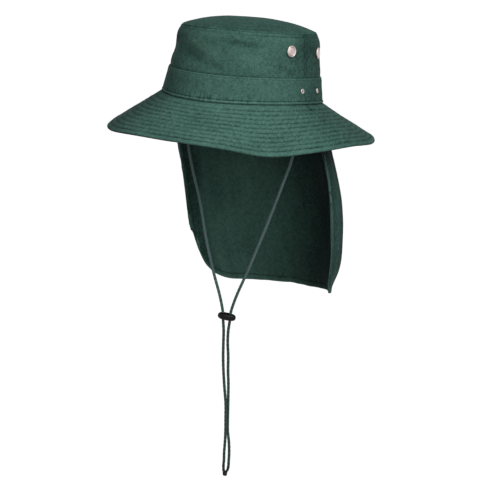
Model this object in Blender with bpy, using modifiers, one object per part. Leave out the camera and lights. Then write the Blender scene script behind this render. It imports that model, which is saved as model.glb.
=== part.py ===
"""Wide brim sun hat with a neck flap and a chin cord, at its real size in metres.

The hat is drawn upright round its own axis and then tipped as it is worn, a little
back and towards the wearer's left. The flap and the chin cord hang plumb below it.
Front is -Y, the wearer's left is +X, up is +Z, and the origin is the middle of the
head opening. Angles run round the hat from the front towards the wearer's left.
"""

import math
from collections import namedtuple

import bmesh
import bpy
from mathutils import Matrix, Vector

# Head opening and crown
OPENING_LENGTH = 0.1946
OPENING_WIDTH = 0.1626
CROWN_HEIGHT = 0.0786
CROWN_WALL = 0.0016
TIP_WALL = 0.0016
TIP_DOME = 0.0120
TIP_DOME_POWER = 2.6
TIP_RISE = 0.0014
TIP_RISE_ANGLE = 140.0
SIDE_LIFT = 0.004
SIDE_LIFT_FADE = 1.5

# Band round the foot of the crown
BAND_HEIGHT = 0.0295
BAND_WALL = 0.0018

# Brim
BRIM_WIDTH = 0.073
BRIM_WALL = 0.0024

# Neck flap
FLAP_LENGTH = 0.238
FLAP_WALL = 0.0014
FLAP_CORNER_RIGHT = 0.046
FLAP_CORNER_LEFT = 0.010

# Press studs and eyelets, placed in degrees from the side seam and shares of the crown's height
STUD_DIAMETER = 0.0125
STUD_RISE = 0.0021
STUDS_FROM_SEAM = (-15.0, 21.5)
STUD_HEIGHT_SHARES = (0.76, 0.73)
EYELET_DIAMETER = 0.0058
EYELET_HOLE = 0.0025
EYELET_BARREL = 0.0035
EYELET_FLANGE = 0.0006
EYELETS_FROM_SEAM = (-4.0, 16.0)
EYELET_HEIGHT_SHARE = 0.19

# Chin cord and what is on it
CORD_DIAMETER = 0.0032
STOPPER_LENGTH = 0.0215
STOPPER_THICKNESS = 0.009
STOPPER_HOLE_SPACING = 0.0083
STOPPER_ROUNDNESS = 0.72
STOPPER_CENTRE = Vector((-0.0235, 0.0, -0.2584))
STOPPER_TURN = 36.0
STOPPER_SLANT = 12.0
KNOT_DIAMETER = 0.0052
KNOT_HEIGHT = 0.0048
KNOT_TOP = Vector((-0.0267, 0.0, -0.4519))

# How the hat sits on the head, in degrees, and the gap kept between sewn pieces
TIPPED_BACK = 4.3
TIPPED_LEFT = 3.9
SIDE_SEAM = 90.0
GAP = 0.0003

# Facets
ROUND_STEPS = 64
FLAP_STEPS = 38
STUD_STEPS = 14
EYELET_STEPS = 10
BORE_STEPS = 12
KNOT_STEPS = 12
CORD_POINTS = 40

# Outer width of the crown's wall at shares of its height, as shares of its width at the foot
CrownSection = namedtuple("CrownSection", "height width")
CROWN_SECTIONS = (
    CrownSection(0.00, 1.000),
    CrownSection(0.20, 0.972),
    CrownSection(0.36, 0.952),
    CrownSection(0.47, 0.946),
    CrownSection(0.64, 0.922),
    CrownSection(0.87, 0.901),
    CrownSection(1.00, 0.850),
)

# Soft dents of the crown: place, reach and slant, and depth as a share of the crown's height
CrownDent = namedtuple("CrownDent", "angle height half_angle half_height slant depth")
CROWN_DENTS = (
    CrownDent(30.0, 0.80, 24.0, 0.10, 0.0, 0.022),
    CrownDent(-5.0, 0.56, 9.0, 0.16, 40.0, 0.030),
    CrownDent(70.0, 0.56, 10.0, 0.13, 0.0, 0.020),
    CrownDent(135.0, 0.62, 12.0, 0.12, 0.0, 0.006),
    CrownDent(205.0, 0.60, 18.0, 0.15, -30.0, 0.028),
    CrownDent(268.0, 0.58, 13.0, 0.12, 0.0, 0.020),
    CrownDent(318.0, 0.70, 14.0, 0.12, 20.0, 0.014),
)

# How far the brim slopes down below level, in degrees, at angles right round the hat
BrimSection = namedtuple("BrimSection", "angle droop")
BRIM_SECTIONS = (
    BrimSection(-180.0, 24.0),
    BrimSection(-150.0, 26.5),
    BrimSection(-120.0, 27.5),
    BrimSection(-90.0, 29.5),
    BrimSection(-60.0, 37.0),
    BrimSection(-30.0, 36.0),
    BrimSection(0.0, 30.5),
    BrimSection(28.0, 33.0),
    BrimSection(48.0, 39.0),
    BrimSection(68.0, 34.5),
    BrimSection(90.0, 29.0),
    BrimSection(120.0, 29.5),
    BrimSection(150.0, 26.0),
    BrimSection(180.0, 24.0),
)

# Level cuts through the flap at shares of its length: its width and depth as shares of those at
# the seam, how far back it swings as a share of its length, and the angle where it ends
FlapSection = namedtuple("FlapSection", "down width depth back end")
FLAP_SECTIONS = (
    FlapSection(0.00, 1.000, 1.000, 0.000, 97.0),
    FlapSection(0.25, 1.239, 0.996, 0.010, 95.0),
    FlapSection(0.50, 1.268, 1.028, 0.067, 93.0),
    FlapSection(0.75, 1.234, 1.044, 0.089, 94.0),
    FlapSection(1.00, 1.100, 1.090, 0.133, 96.0),
)

# Length of the flap from its left edge, -1, to its right edge, 1, as shares of its length
FlapHem = namedtuple("FlapHem", "across length")
FLAP_HEM = (
    FlapHem(-1.00, 0.905),
    FlapHem(-0.60, 0.955),
    FlapHem(-0.20, 0.978),
    FlapHem(0.15, 0.988),
    FlapHem(0.60, 1.000),
    FlapHem(1.00, 1.000),
)

# Folds of the flap: angle, reach, the stretch of its length they take, and depth as a share of it
FlapFold = namedtuple("FlapFold", "angle half_angle top foot depth")
FLAP_FOLDS = (
    FlapFold(112.0, 6.0, 0.30, 1.10, 0.008),
    FlapFold(139.0, 7.0, 0.45, 1.20, -0.009),
    FlapFold(163.0, 6.0, 0.10, 0.75, 0.007),
    FlapFold(178.0, 4.0, 0.70, 1.15, -0.010),
    FlapFold(194.0, 5.0, 0.62, 1.20, 0.012),
    FlapFold(223.0, 6.0, 0.30, 0.85, -0.010),
    FlapFold(247.0, 6.0, 0.50, 1.20, 0.008),
    FlapFold(126.0, 22.0, 0.84, 1.16, -0.052),
    FlapFold(266.0, 18.0, 0.74, 1.16, 0.032),
)

# Routes of the two strands from the wearer's side of the opening down to the knot
CORD_LEFT_ROUTE = (
    (0.0784, 0.0009, 0.0050),
    (0.0778, 0.0004, -0.0180),
    (0.0683, 0.0, -0.0600),
    (0.0535, 0.0, -0.0960),
    (0.0349, 0.0, -0.1386),
    (0.0180, 0.0, -0.1750),
    (0.0028, 0.0, -0.2070),
    (-0.0079, 0.0008, -0.2273),
    (-0.0152, 0.0018, -0.2425),
    (-0.0194, 0.0024, -0.2535),
    (-0.0208, 0.0024, -0.2635),
    (-0.0228, 0.0020, -0.2760),
    (-0.0235, 0.0018, -0.2905),
    (-0.0228, 0.0018, -0.3075),
    (-0.0231, 0.0018, -0.3250),
    (-0.0226, 0.0018, -0.3445),
    (-0.0235, 0.0018, -0.3820),
    (-0.0237, 0.0018, -0.3995),
    (-0.0219, 0.0016, -0.4130),
    (-0.0214, 0.0014, -0.4265),
    (-0.0219, 0.0012, -0.4370),
    (-0.0226, 0.0012, -0.4450),
    (-0.0246, 0.0012, -0.4510),
)
CORD_RIGHT_ROUTE = (
    (-0.0774, 0.0009, 0.0150),
    (-0.0790, 0.0006, -0.0200),
    (-0.0788, 0.0, -0.0582),
    (-0.0722, 0.0, -0.0900),
    (-0.0625, 0.0, -0.1238),
    (-0.0530, 0.0, -0.1705),
    (-0.0425, -0.0004, -0.2070),
    (-0.0340, -0.0010, -0.2308),
    (-0.0293, -0.0018, -0.2455),
    (-0.0272, -0.0024, -0.2550),
    (-0.0270, -0.0024, -0.2640),
    (-0.0266, -0.0020, -0.2755),
    (-0.0272, -0.0018, -0.2905),
    (-0.0276, -0.0018, -0.3075),
    (-0.0272, -0.0018, -0.3245),
    (-0.0259, -0.0018, -0.3440),
    (-0.0241, -0.0018, -0.3640),
    (-0.0241, -0.0018, -0.3810),
    (-0.0244, -0.0018, -0.3990),
    (-0.0253, -0.0016, -0.4125),
    (-0.0268, -0.0014, -0.4270),
    (-0.0272, -0.0012, -0.4360),
    (-0.0280, -0.0012, -0.4430),
    (-0.0278, -0.0012, -0.4515),
)


def start_clean():
    """Remove what the file holds and make the collections for the hat and its cutters."""
    for obj in list(bpy.data.objects):
        bpy.data.objects.remove(obj, do_unlink=True)
    hat = bpy.data.collections.new("wide_brim_hat")
    cutters = bpy.data.collections.new("cutters")
    bpy.context.scene.collection.children.link(hat)
    bpy.context.scene.collection.children.link(cutters)
    return hat, cutters


def make_material(name, colour, roughness, metallic=0.0):
    """A plain Principled material in one colour."""
    material = bpy.data.materials.new(name)
    material.use_nodes = True
    shader = material.node_tree.nodes["Principled BSDF"]
    shader.inputs["Base Color"].default_value = (*colour, 1.0)
    shader.inputs["Roughness"].default_value = roughness
    shader.inputs["Metallic"].default_value = metallic
    return material


def between(rows, column, at):
    """The value of a table's column at a place in its first column, on a smooth curve."""
    keys = [row[0] for row in rows]
    values = [getattr(row, column) for row in rows]
    at = min(max(at, keys[0]), keys[-1])
    last = len(keys) - 1
    low = max(i for i in range(last) if keys[i] <= at)
    slopes = []
    for i in (low, low + 1):
        before, after = max(i - 1, 0), min(i + 1, last)
        slopes.append((values[after] - values[before]) / (keys[after] - keys[before]))
    span = keys[low + 1] - keys[low]
    t = (at - keys[low]) / span
    return (
        (2 * t**3 - 3 * t**2 + 1) * values[low]
        + (t**3 - 2 * t**2 + t) * span * slopes[0]
        + (3 * t**2 - 2 * t**3) * values[low + 1]
        + (t**3 - t**2) * span * slopes[1]
    )


def angle_apart(angle, other):
    """Signed difference of two angles in degrees, from -180 to 180."""
    return (angle - other + 180.0) % 360.0 - 180.0


def oval(angle, half_length, half_width):
    """A point on a level oval, at an angle in degrees from the front."""
    turn = math.radians(angle)
    return Vector((half_width * math.sin(turn), -half_length * math.cos(turn), 0.0))


def opening_oval(angle, offset):
    """A point on the opening's oval, moved outwards by an offset."""
    half_length = OPENING_LENGTH / 2
    half_width = OPENING_WIDTH / 2
    turn = math.radians(angle)
    outwards = Vector((half_length * math.sin(turn), -half_width * math.cos(turn), 0.0))
    return oval(angle, half_length, half_width) + outwards.normalized() * offset


def seam_height(angle):
    """Height of the brim seam, which rises a little at both sides of the head."""
    return SIDE_LIFT * math.sin(math.radians(angle)) ** 2


def crown_surface(angle, share):
    """Outer face of the crown's side at a share of its height."""
    width = between(CROWN_SECTIONS, "width", share)
    point = opening_oval(angle, CROWN_WALL) * width
    top = CROWN_HEIGHT + TIP_RISE * math.cos(math.radians(angle - TIP_RISE_ANGLE))
    point.z = seam_height(angle) * (1 - share) ** SIDE_LIFT_FADE + top * share
    for dent in CROWN_DENTS:
        across = angle_apart(angle, dent.angle + dent.slant * (share - dent.height)) / dent.half_angle
        along = (share - dent.height) / dent.half_height
        depth = dent.depth * CROWN_HEIGHT * math.exp(-across**2 - along**2)
        point -= Vector((point.x, point.y, 0.0)).normalized() * depth
    return point


def crown_seat(angle, share, offset):
    """A frame on the crown's side: its Z axis points out of the cloth, its Y axis up."""
    aside, above = 0.5, 0.02
    point = crown_surface(angle, share)
    round_the_hat = crown_surface(angle + aside, share) - crown_surface(angle - aside, share)
    upwards = crown_surface(angle, share + above) - crown_surface(angle, share - above)
    out = round_the_hat.cross(upwards).normalized()
    side = upwards.cross(out).normalized()
    turn = Matrix((side, out.cross(side), out)).transposed().to_4x4()
    return Matrix.Translation(point + out * offset) @ turn


def brim_surface(angle, outwards):
    """Upper face of the brim at a distance outwards from the band's foot."""
    foot = CROWN_WALL + GAP + BAND_WALL
    droop = math.radians(between(BRIM_SECTIONS, "droop", angle_apart(angle, 0.0)))
    slope = max(outwards, 0.0)
    level = min(outwards, 0.0) + slope * math.cos(droop)
    point = opening_oval(angle, foot + level)
    point.z = seam_height(angle) - GAP - slope * math.sin(droop)
    return point


def tipping():
    """The turn that tips the hat as it is worn."""
    back = Matrix.Rotation(math.radians(-TIPPED_BACK), 4, "X")
    left = Matrix.Rotation(math.radians(TIPPED_LEFT), 4, "Y")
    return left @ back


def flap_surface(angle_share, down, tip):
    """Outer face of the flap; angle_share runs from the wearer's left edge, -1, to the right, 1."""
    end = between(FLAP_SECTIONS, "end", down)
    angle = 180.0 + angle_share * (180.0 - end)
    half_length = OPENING_LENGTH / 2 + CROWN_WALL
    half_width = OPENING_WIDTH / 2 + CROWN_WALL
    seam = oval(angle, half_length, half_width)
    seam.z = seam_height(angle) - BRIM_WALL - 2 * GAP
    point = tip @ seam
    wider = (between(FLAP_SECTIONS, "width", down) - 1.0) * half_width
    deeper = (between(FLAP_SECTIONS, "depth", down) - 1.0) * half_length
    turn = math.radians(angle)
    point.x += wider * math.sin(turn)
    point.y += between(FLAP_SECTIONS, "back", down) * FLAP_LENGTH - deeper * math.cos(turn)
    for fold in FLAP_FOLDS:
        middle = (fold.top + fold.foot) / 2
        along = (down - middle) / ((fold.foot - fold.top) / 2)
        across = angle_apart(angle, fold.angle) / fold.half_angle
        depth = fold.depth * FLAP_LENGTH * math.exp(-across**2 - along**2 * 2)
        point += Vector((math.sin(turn), -math.cos(turn), 0.0)) * depth
    length = FLAP_LENGTH * between(FLAP_HEM, "length", angle_share)
    point.z -= down * (length - corner_drop(angle_share))
    return point


def corner_drop(angle_share):
    """How much shorter the flap is beside its rounded lower corners."""
    radius = FLAP_CORNER_RIGHT if angle_share > 0 else FLAP_CORNER_LEFT
    foot = FLAP_SECTIONS[-1]
    half_girth = math.pi / 4 * (OPENING_LENGTH / 2 * foot.depth + OPENING_WIDTH / 2 * foot.width)
    from_edge = (1.0 - abs(angle_share)) * half_girth
    inside = max(radius - from_edge, 0.0)
    return radius - math.sqrt(radius**2 - inside**2)


def add_shell(name, rows, wall, material, collection, closed=False, pole=None):
    """An open loft through rows of points, given its wall inwards by Solidify."""
    columns = len(rows[0])
    points = [point for row in rows for point in row]
    faces = []
    for row in range(len(rows) - 1):
        for column in range(columns if closed else columns - 1):
            beside = (column + 1) % columns
            low, high = row * columns, (row + 1) * columns
            faces.append((low + column, low + beside, high + beside, high + column))
    if pole is not None:
        points.append(pole)
        high = (len(rows) - 1) * columns
        faces += [(high + i, high + (i + 1) % columns, len(points) - 1) for i in range(columns)]
    mesh = bpy.data.meshes.new(name)
    mesh.from_pydata(points, [], faces)
    mesh.shade_smooth()
    mesh.materials.append(material)
    shell = bpy.data.objects.new(name, mesh)
    collection.objects.link(shell)
    solidify = shell.modifiers.new("wall", "SOLIDIFY")
    solidify.thickness = wall
    solidify.offset = -1.0
    solidify.use_even_offset = True
    return shell


def add_turned(name, profile, steps, material, collection):
    """A solid turned round its own Z axis from a profile of (radius, height) points."""
    mesh = bpy.data.meshes.new(name)
    mesh.from_pydata(*profile)
    mesh.materials.append(material)
    turned = bpy.data.objects.new(name, mesh)
    collection.objects.link(turned)
    screw = turned.modifiers.new("turn", "SCREW")
    screw.steps = steps
    screw.render_steps = steps
    screw.use_merge_vertices = True
    screw.merge_threshold = 0.00001
    screw.use_smooth_shade = True
    return turned


def open_profile(points):
    """Points of a profile, joined end to end, for a solid that meets its own axis."""
    verts = [(radius, 0.0, height) for radius, height in points]
    return verts, [(i, i + 1) for i in range(len(verts) - 1)], []


def ring_profile(points):
    """Points of a profile, joined into a loop, for a solid with a hole on its axis."""
    verts, edges, faces = open_profile(points)
    return verts, edges + [(len(verts) - 1, 0)], faces


def ring_angles(start, end, steps):
    """Angles from start to end in even steps, with both ends."""
    return [start + (end - start) * i / steps for i in range(steps + 1)]


def add_crown_side(name, start, end, material, collection):
    """One of the two side panels of the crown, between the side seams."""
    top = 1.0 - (TIP_WALL + GAP) / CROWN_HEIGHT
    angles = ring_angles(start, end, ROUND_STEPS // 2)
    shares = [0.0, 0.18, 0.32, 0.42, 0.53, 0.64, 0.76, 0.88, top]
    rows = [[crown_surface(angle, share) for angle in angles] for share in shares]
    return add_shell(name, rows, CROWN_WALL, material, collection)


def add_crown_tip(material, collection):
    """The domed oval panel that closes the crown."""
    angles = ring_angles(0.0, 360.0, ROUND_STEPS)[:-1]
    rows = []
    for reach in (1.0, 0.93, 0.8, 0.6, 0.35):
        rise = TIP_DOME * (1.0 - reach**TIP_DOME_POWER)
        rims = [crown_surface(angle, 1.0) for angle in angles]
        middle = Vector((0.0, 0.0, CROWN_HEIGHT))
        rows.append([middle.lerp(rim, reach) + Vector((0.0, 0.0, rise)) for rim in rims])
    pole = (0.0, 0.0, CROWN_HEIGHT + TIP_DOME)
    return add_shell("crown_tip", rows, TIP_WALL, material, collection, closed=True, pole=pole)


def add_band(material, collection):
    """The folded strip sewn round the foot of the crown."""
    angles = ring_angles(0.0, 360.0, ROUND_STEPS)[:-1]
    top = BAND_HEIGHT / CROWN_HEIGHT
    outer = GAP + BAND_WALL
    shares = (0.0, top / 2, top)
    rows = [[crown_seat(angle, share, outer).translation for angle in angles] for share in shares]
    return add_shell("hat_band", rows, BAND_WALL, material, collection, closed=True)


def add_brim(name, start, end, material, collection):
    """One half of the brim, from side seam to side seam, with its upper face as the loft."""
    angles = ring_angles(start, end, ROUND_STEPS // 2)
    under_crown = -(CROWN_WALL + GAP + BAND_WALL)
    reaches = [under_crown, 0.0] + [BRIM_WIDTH * share for share in (0.06, 0.4, 1.0)]
    rows = [[brim_surface(angle, reach) for angle in angles] for reach in reversed(reaches)]
    return add_shell(name, rows, BRIM_WALL, material, collection)


def add_flap(material, collection):
    """The neck flap, hanging plumb from under the back of the brim seam."""
    tip = tipping()
    evenly = [2.0 * i / FLAP_STEPS - 1.0 for i in range(FLAP_STEPS + 1)]
    shares = [1.25 * share - 0.25 * share**3 for share in evenly]
    downs = [1.0, 0.95, 0.88, 0.8, 0.71, 0.62, 0.53, 0.44, 0.35, 0.27, 0.19, 0.12, 0.06, 0.02, 0.0]
    rows = [[flap_surface(share, down, tip) for share in shares] for down in downs]
    return add_shell("neck_flap", rows, FLAP_WALL, material, collection)


def add_studs(material, collection, hat):
    """The four press stud caps, two on each side of the crown."""
    radius = STUD_DIAMETER / 2
    profile = open_profile(
        [
            (0.0, STUD_RISE),
            (radius * 0.55, STUD_RISE * 0.93),
            (radius * 0.80, STUD_RISE * 0.72),
            (radius * 0.88, STUD_RISE * 0.5),
            (radius * 0.97, STUD_RISE * 0.46),
            (radius, STUD_RISE * 0.25),
            (radius * 0.96, 0.0),
            (0.0, 0.0),
        ]
    )
    for side, sign in (("left", 1), ("right", -1)):
        for place, from_seam, height in zip(("front", "back"), STUDS_FROM_SEAM, STUD_HEIGHT_SHARES):
            stud = add_turned(f"press_stud_{side}_{place}", profile, STUD_STEPS, material, collection)
            stud.parent = hat
            stud.matrix_local = crown_seat(sign * (SIDE_SEAM + from_seam), height, GAP)


def add_eyelets(material, collection, cutters, hat, cut_at):
    """The four vent eyelets, each clenched through the band and the crown."""
    hole, barrel, rim = EYELET_HOLE / 2, EYELET_BARREL / 2, EYELET_DIAMETER / 2
    through = CROWN_WALL + GAP + BAND_WALL
    profile = ring_profile(
        [
            (hole, GAP + EYELET_FLANGE),
            (rim * 0.86, GAP + EYELET_FLANGE),
            (rim, GAP),
            (barrel, GAP),
            (barrel, -through - GAP),
            (rim, -through - GAP),
            (rim * 0.86, -through - GAP - EYELET_FLANGE),
            (hole, -through - GAP - EYELET_FLANGE),
        ]
    )
    for side, sign in (("left", 1), ("right", -1)):
        for place, from_seam in zip(("front", "back"), EYELETS_FROM_SEAM):
            angle = sign * (SIDE_SEAM + from_seam)
            seat = crown_seat(angle, EYELET_HEIGHT_SHARE, GAP + BAND_WALL)
            name = f"eyelet_{side}_{place}"
            eyelet = add_turned(name, profile, EYELET_STEPS, material, collection)
            eyelet.parent = hat
            eyelet.matrix_local = seat
            cutter = add_cutter(f"cut_{name}", barrel + GAP, through * 3, EYELET_STEPS, cutters)
            cutter.parent = hat
            cutter.matrix_local = seat
            for cloth in cut_at[place]:
                cut(cloth, cutter)


def add_cutter(name, radius, length, steps, cutters):
    """A hidden cylinder along its own Z axis, for cutting a round hole."""
    mesh = bpy.data.meshes.new(name)
    shape = bmesh.new()
    bmesh.ops.create_cone(
        shape, cap_ends=True, segments=steps, radius1=radius, radius2=radius, depth=length
    )
    shape.to_mesh(mesh)
    shape.free()
    cutter = bpy.data.objects.new(name, mesh)
    cutter.hide_render = True
    cutter.display_type = "WIRE"
    cutters.objects.link(cutter)
    return cutter


def cut(target, cutter):
    """Cut one object out of another with a live Boolean."""
    boolean = target.modifiers.new(cutter.name, "BOOLEAN")
    boolean.operation = "DIFFERENCE"
    boolean.solver = "EXACT"
    boolean.object = cutter


def add_stopper(material, collection, cutters):
    """The oval bead that slides on both strands of the chin cord, bored for each of them."""
    mesh = bpy.data.meshes.new("cord_stopper")
    bead = bmesh.new()
    bmesh.ops.create_uvsphere(bead, u_segments=16, v_segments=8, radius=1.0)
    for vert in bead.verts:
        for axis in range(3):
            vert.co[axis] = math.copysign(abs(vert.co[axis]) ** STOPPER_ROUNDNESS, vert.co[axis])
    half = Vector((STOPPER_LENGTH, STOPPER_THICKNESS, STOPPER_THICKNESS)) / 2
    bmesh.ops.scale(bead, vec=half, verts=bead.verts)
    bead.to_mesh(mesh)
    bead.free()
    mesh.shade_smooth()
    mesh.materials.append(material)
    stopper = bpy.data.objects.new("cord_stopper", mesh)
    stopper.location = STOPPER_CENTRE
    stopper.rotation_euler = (0.0, math.radians(STOPPER_SLANT), math.radians(STOPPER_TURN))
    collection.objects.link(stopper)
    turn = math.radians(STOPPER_TURN)
    along = Vector((math.cos(turn), math.sin(turn), 0.0))
    bore_radius = CORD_DIAMETER / 2 + 3 * GAP
    for side in (-1, 1):
        bore = add_cutter(f"cut_cord_{side}", bore_radius, STOPPER_LENGTH, BORE_STEPS, cutters)
        bore.location = STOPPER_CENTRE + along * side * STOPPER_HOLE_SPACING / 2
        cut(stopper, bore)


def add_knot(material, collection):
    """The small melted knob that joins the two strands at their foot."""
    radius, half = KNOT_DIAMETER / 2, KNOT_HEIGHT / 2
    profile = open_profile(
        [
            (0.0, half),
            (radius * 0.78, half),
            (radius * 0.96, half * 0.6),
            (radius, 0.0),
            (radius * 0.86, -half * 0.6),
            (radius * 0.5, -half),
            (0.0, -half),
        ]
    )
    knot = add_turned("cord_knot", profile, KNOT_STEPS, material, collection)
    knot.location = KNOT_TOP - Vector((0.0, 0.0, half))


def smooth_route(points, count):
    """Points at even distances along a smooth curve through the route's own points."""
    route = [Vector(point) for point in points]
    route = [route[0] * 2 - route[1]] + route + [route[-1] * 2 - route[-2]]
    fine = [route[1]]
    for i in range(1, len(route) - 2):
        before, start, end, after = route[i - 1 : i + 3]
        for step in range(1, 21):
            t = step / 20
            fine.append(
                (
                    start * 2
                    + (end - before) * t
                    + (before * 2 - start * 5 + end * 4 - after) * t**2
                    + (start * 3 - before - end * 3 + after) * t**3
                )
                / 2
            )
    lengths = [0.0]
    for start, end in zip(fine, fine[1:]):
        lengths.append(lengths[-1] + (end - start).length)
    even = []
    for i in range(count):
        at = lengths[-1] * i / (count - 1)
        low = max(k for k in range(len(fine) - 1) if lengths[k] <= at)
        share = (at - lengths[low]) / (lengths[low + 1] - lengths[low])
        even.append(fine[low].lerp(fine[low + 1], share))
    return even


def add_cord(name, route, material, collection):
    """One strand of the chin cord, as a round tube with closed ends."""
    curve = bpy.data.curves.new(name, "CURVE")
    curve.dimensions = "3D"
    curve.bevel_depth = CORD_DIAMETER / 2
    curve.bevel_resolution = 2
    curve.use_fill_caps = True
    curve.materials.append(material)
    points = smooth_route(route, CORD_POINTS)
    spline = curve.splines.new("POLY")
    spline.points.add(len(points) - 1)
    for place, point in zip(spline.points, points):
        place.co = (*point, 1.0)
    collection.objects.link(bpy.data.objects.new(name, curve))


def build():
    """Model every piece of the hat."""
    collection, cutters = start_clean()
    cloth = make_material("green_cloth", (0.062, 0.147, 0.116), 0.9)
    metal = make_material("stud_metal", (0.62, 0.58, 0.57), 0.28, 1.0)
    cord = make_material("cord_braid", (0.032, 0.058, 0.049), 0.8)
    plastic = make_material("stopper_plastic", (0.006, 0.006, 0.007), 0.22)
    hat = bpy.data.objects.new("hat_tilt", None)
    hat.matrix_world = tipping()
    collection.objects.link(hat)

    half_gap = math.degrees(GAP / OPENING_LENGTH)
    front = (-SIDE_SEAM + half_gap, SIDE_SEAM - half_gap)
    back = (SIDE_SEAM + half_gap, 360.0 - SIDE_SEAM - half_gap)
    crown_front = add_crown_side("crown_front", *front, cloth, collection)
    crown_back = add_crown_side("crown_back", *back, cloth, collection)
    tip = add_crown_tip(cloth, collection)
    band = add_band(cloth, collection)
    brim_front = add_brim("brim_front", *front, cloth, collection)
    brim_back = add_brim("brim_back", *back, cloth, collection)
    for piece in (crown_front, crown_back, tip, band, brim_front, brim_back):
        piece.parent = hat
    add_flap(cloth, collection)
    add_studs(metal, collection, hat)
    cut_at = {"front": (band, crown_front), "back": (band, crown_back)}
    add_eyelets(metal, collection, cutters, hat, cut_at)
    add_cord("chin_cord_left", CORD_LEFT_ROUTE, cord, collection)
    add_cord("chin_cord_right", CORD_RIGHT_ROUTE, cord, collection)
    add_stopper(plastic, collection, cutters)
    add_knot(plastic, collection)


build()
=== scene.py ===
"""Wide brim sun hat with a neck flap and a chin cord: its cloth, stitching, metal and cord.

The shapes follow the same tables as the hat's solids, so each piece lies where its solid
does. The hat is worked out upright and then tipped as it is worn. Front is -Y, the
wearer's left is +X, up is +Z, and everything is in metres. Angles run round the hat from
the front towards the wearer's left, in degrees.
"""

import math
from collections import namedtuple

import bmesh
import bpy
from bpy.props import FloatProperty, FloatVectorProperty, PointerProperty
from mathutils import Matrix, Vector, noise


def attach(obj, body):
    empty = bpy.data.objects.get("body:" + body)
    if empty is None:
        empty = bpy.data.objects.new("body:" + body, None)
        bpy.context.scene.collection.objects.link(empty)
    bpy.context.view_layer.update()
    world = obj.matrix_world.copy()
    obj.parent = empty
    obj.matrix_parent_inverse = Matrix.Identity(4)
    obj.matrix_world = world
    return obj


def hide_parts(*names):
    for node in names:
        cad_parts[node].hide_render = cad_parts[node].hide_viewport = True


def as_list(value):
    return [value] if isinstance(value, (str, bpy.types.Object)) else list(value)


bl_info = {
    "name": "Wide Brim Hat",
    "version": (1, 0, 0),
    "blender": (4, 5, 0),
    "location": "View3D > Sidebar > Hat",
    "description": "Sews the cloth, stitching, metal and cord of a wide brim sun hat",
    "category": "Add Mesh",
}

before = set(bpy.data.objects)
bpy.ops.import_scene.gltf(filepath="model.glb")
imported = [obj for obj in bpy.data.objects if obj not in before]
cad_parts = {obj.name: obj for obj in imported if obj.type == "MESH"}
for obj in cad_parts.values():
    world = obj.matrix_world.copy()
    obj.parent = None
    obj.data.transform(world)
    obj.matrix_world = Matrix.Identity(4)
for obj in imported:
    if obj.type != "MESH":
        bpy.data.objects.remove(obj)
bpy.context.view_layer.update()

MM = 0.001


def table(kind, *rows):
    """The rows of a table, with its columns named."""
    return [kind(*row) for row in rows]


# Sizes that the hat's solids are built from
OPENING_LENGTH = 0.1946
OPENING_WIDTH = 0.1626
CROWN_HEIGHT = 0.0786
CROWN_WALL = 0.0016
TIP_WALL = 0.0016
TIP_DOME = 0.0120
TIP_DOME_POWER = 2.6
TIP_RISE = 0.0014
TIP_RISE_ANGLE = 140.0
SIDE_LIFT = 0.004
SIDE_LIFT_FADE = 1.5
BAND_HEIGHT = 0.0295
BAND_WALL = 0.0018
BRIM_WIDTH = 0.073
BRIM_WALL = 0.0024
FLAP_LENGTH = 0.238
FLAP_WALL = 0.0014
FLAP_CORNER_RIGHT = 0.046
FLAP_CORNER_LEFT = 0.010
STUD_DIAMETER = 0.0125
STUD_RISE = 0.0021
STUDS_FROM_SEAM = (-15.0, 21.5)
STUD_HEIGHT_SHARES = (0.76, 0.73)
EYELET_DIAMETER = 0.0058
EYELET_HOLE = 0.0025
EYELET_BARREL = 0.0035
EYELET_FLANGE = 0.0006
EYELETS_FROM_SEAM = (-4.0, 16.0)
EYELET_HEIGHT_SHARE = 0.19
CORD_DIAMETER = 0.0032
STOPPER_LENGTH = 0.0215
STOPPER_THICKNESS = 0.009
STOPPER_HOLE_SPACING = 0.0083
STOPPER_ROUNDNESS = 0.72
STOPPER_CENTRE = Vector((-0.0235, 0.0, -0.2584))
STOPPER_TURN = 36.0
STOPPER_SLANT = 12.0
KNOT_DIAMETER = 0.0052
KNOT_HEIGHT = 0.0048
KNOT_TOP = Vector((-0.0267, 0.0, -0.4519))
TIPPED_BACK = 4.3
TIPPED_LEFT = 3.9
SIDE_SEAM = 90.0
GAP = 0.0003

CrownSection = namedtuple("CrownSection", "height width")
CROWN_SECTIONS = table(
    CrownSection,
    (0.00, 1.000), (0.20, 0.972), (0.36, 0.952), (0.47, 0.946), (0.64, 0.922), (0.87, 0.901),
    (1.00, 0.850),
)
CrownDent = namedtuple("CrownDent", "angle height half_angle half_height slant depth")
CROWN_DENTS = table(
    CrownDent,
    (30.0, 0.80, 24.0, 0.10, 0.0, 0.022), (-5.0, 0.56, 9.0, 0.16, 40.0, 0.030),
    (70.0, 0.56, 10.0, 0.13, 0.0, 0.020), (135.0, 0.62, 12.0, 0.12, 0.0, 0.006),
    (205.0, 0.60, 18.0, 0.15, -30.0, 0.028), (268.0, 0.58, 13.0, 0.12, 0.0, 0.020),
    (318.0, 0.70, 14.0, 0.12, 20.0, 0.014),
)
BrimSection = namedtuple("BrimSection", "angle droop")
BRIM_SECTIONS = table(
    BrimSection,
    (-180.0, 24.0), (-150.0, 26.5), (-120.0, 27.5), (-90.0, 29.5), (-60.0, 37.0), (-30.0, 36.0),
    (0.0, 30.5), (28.0, 33.0), (48.0, 39.0), (68.0, 34.5), (90.0, 29.0), (120.0, 29.5), (150.0, 26.0),
    (180.0, 24.0),
)
FlapSection = namedtuple("FlapSection", "down width depth back end")
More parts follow.
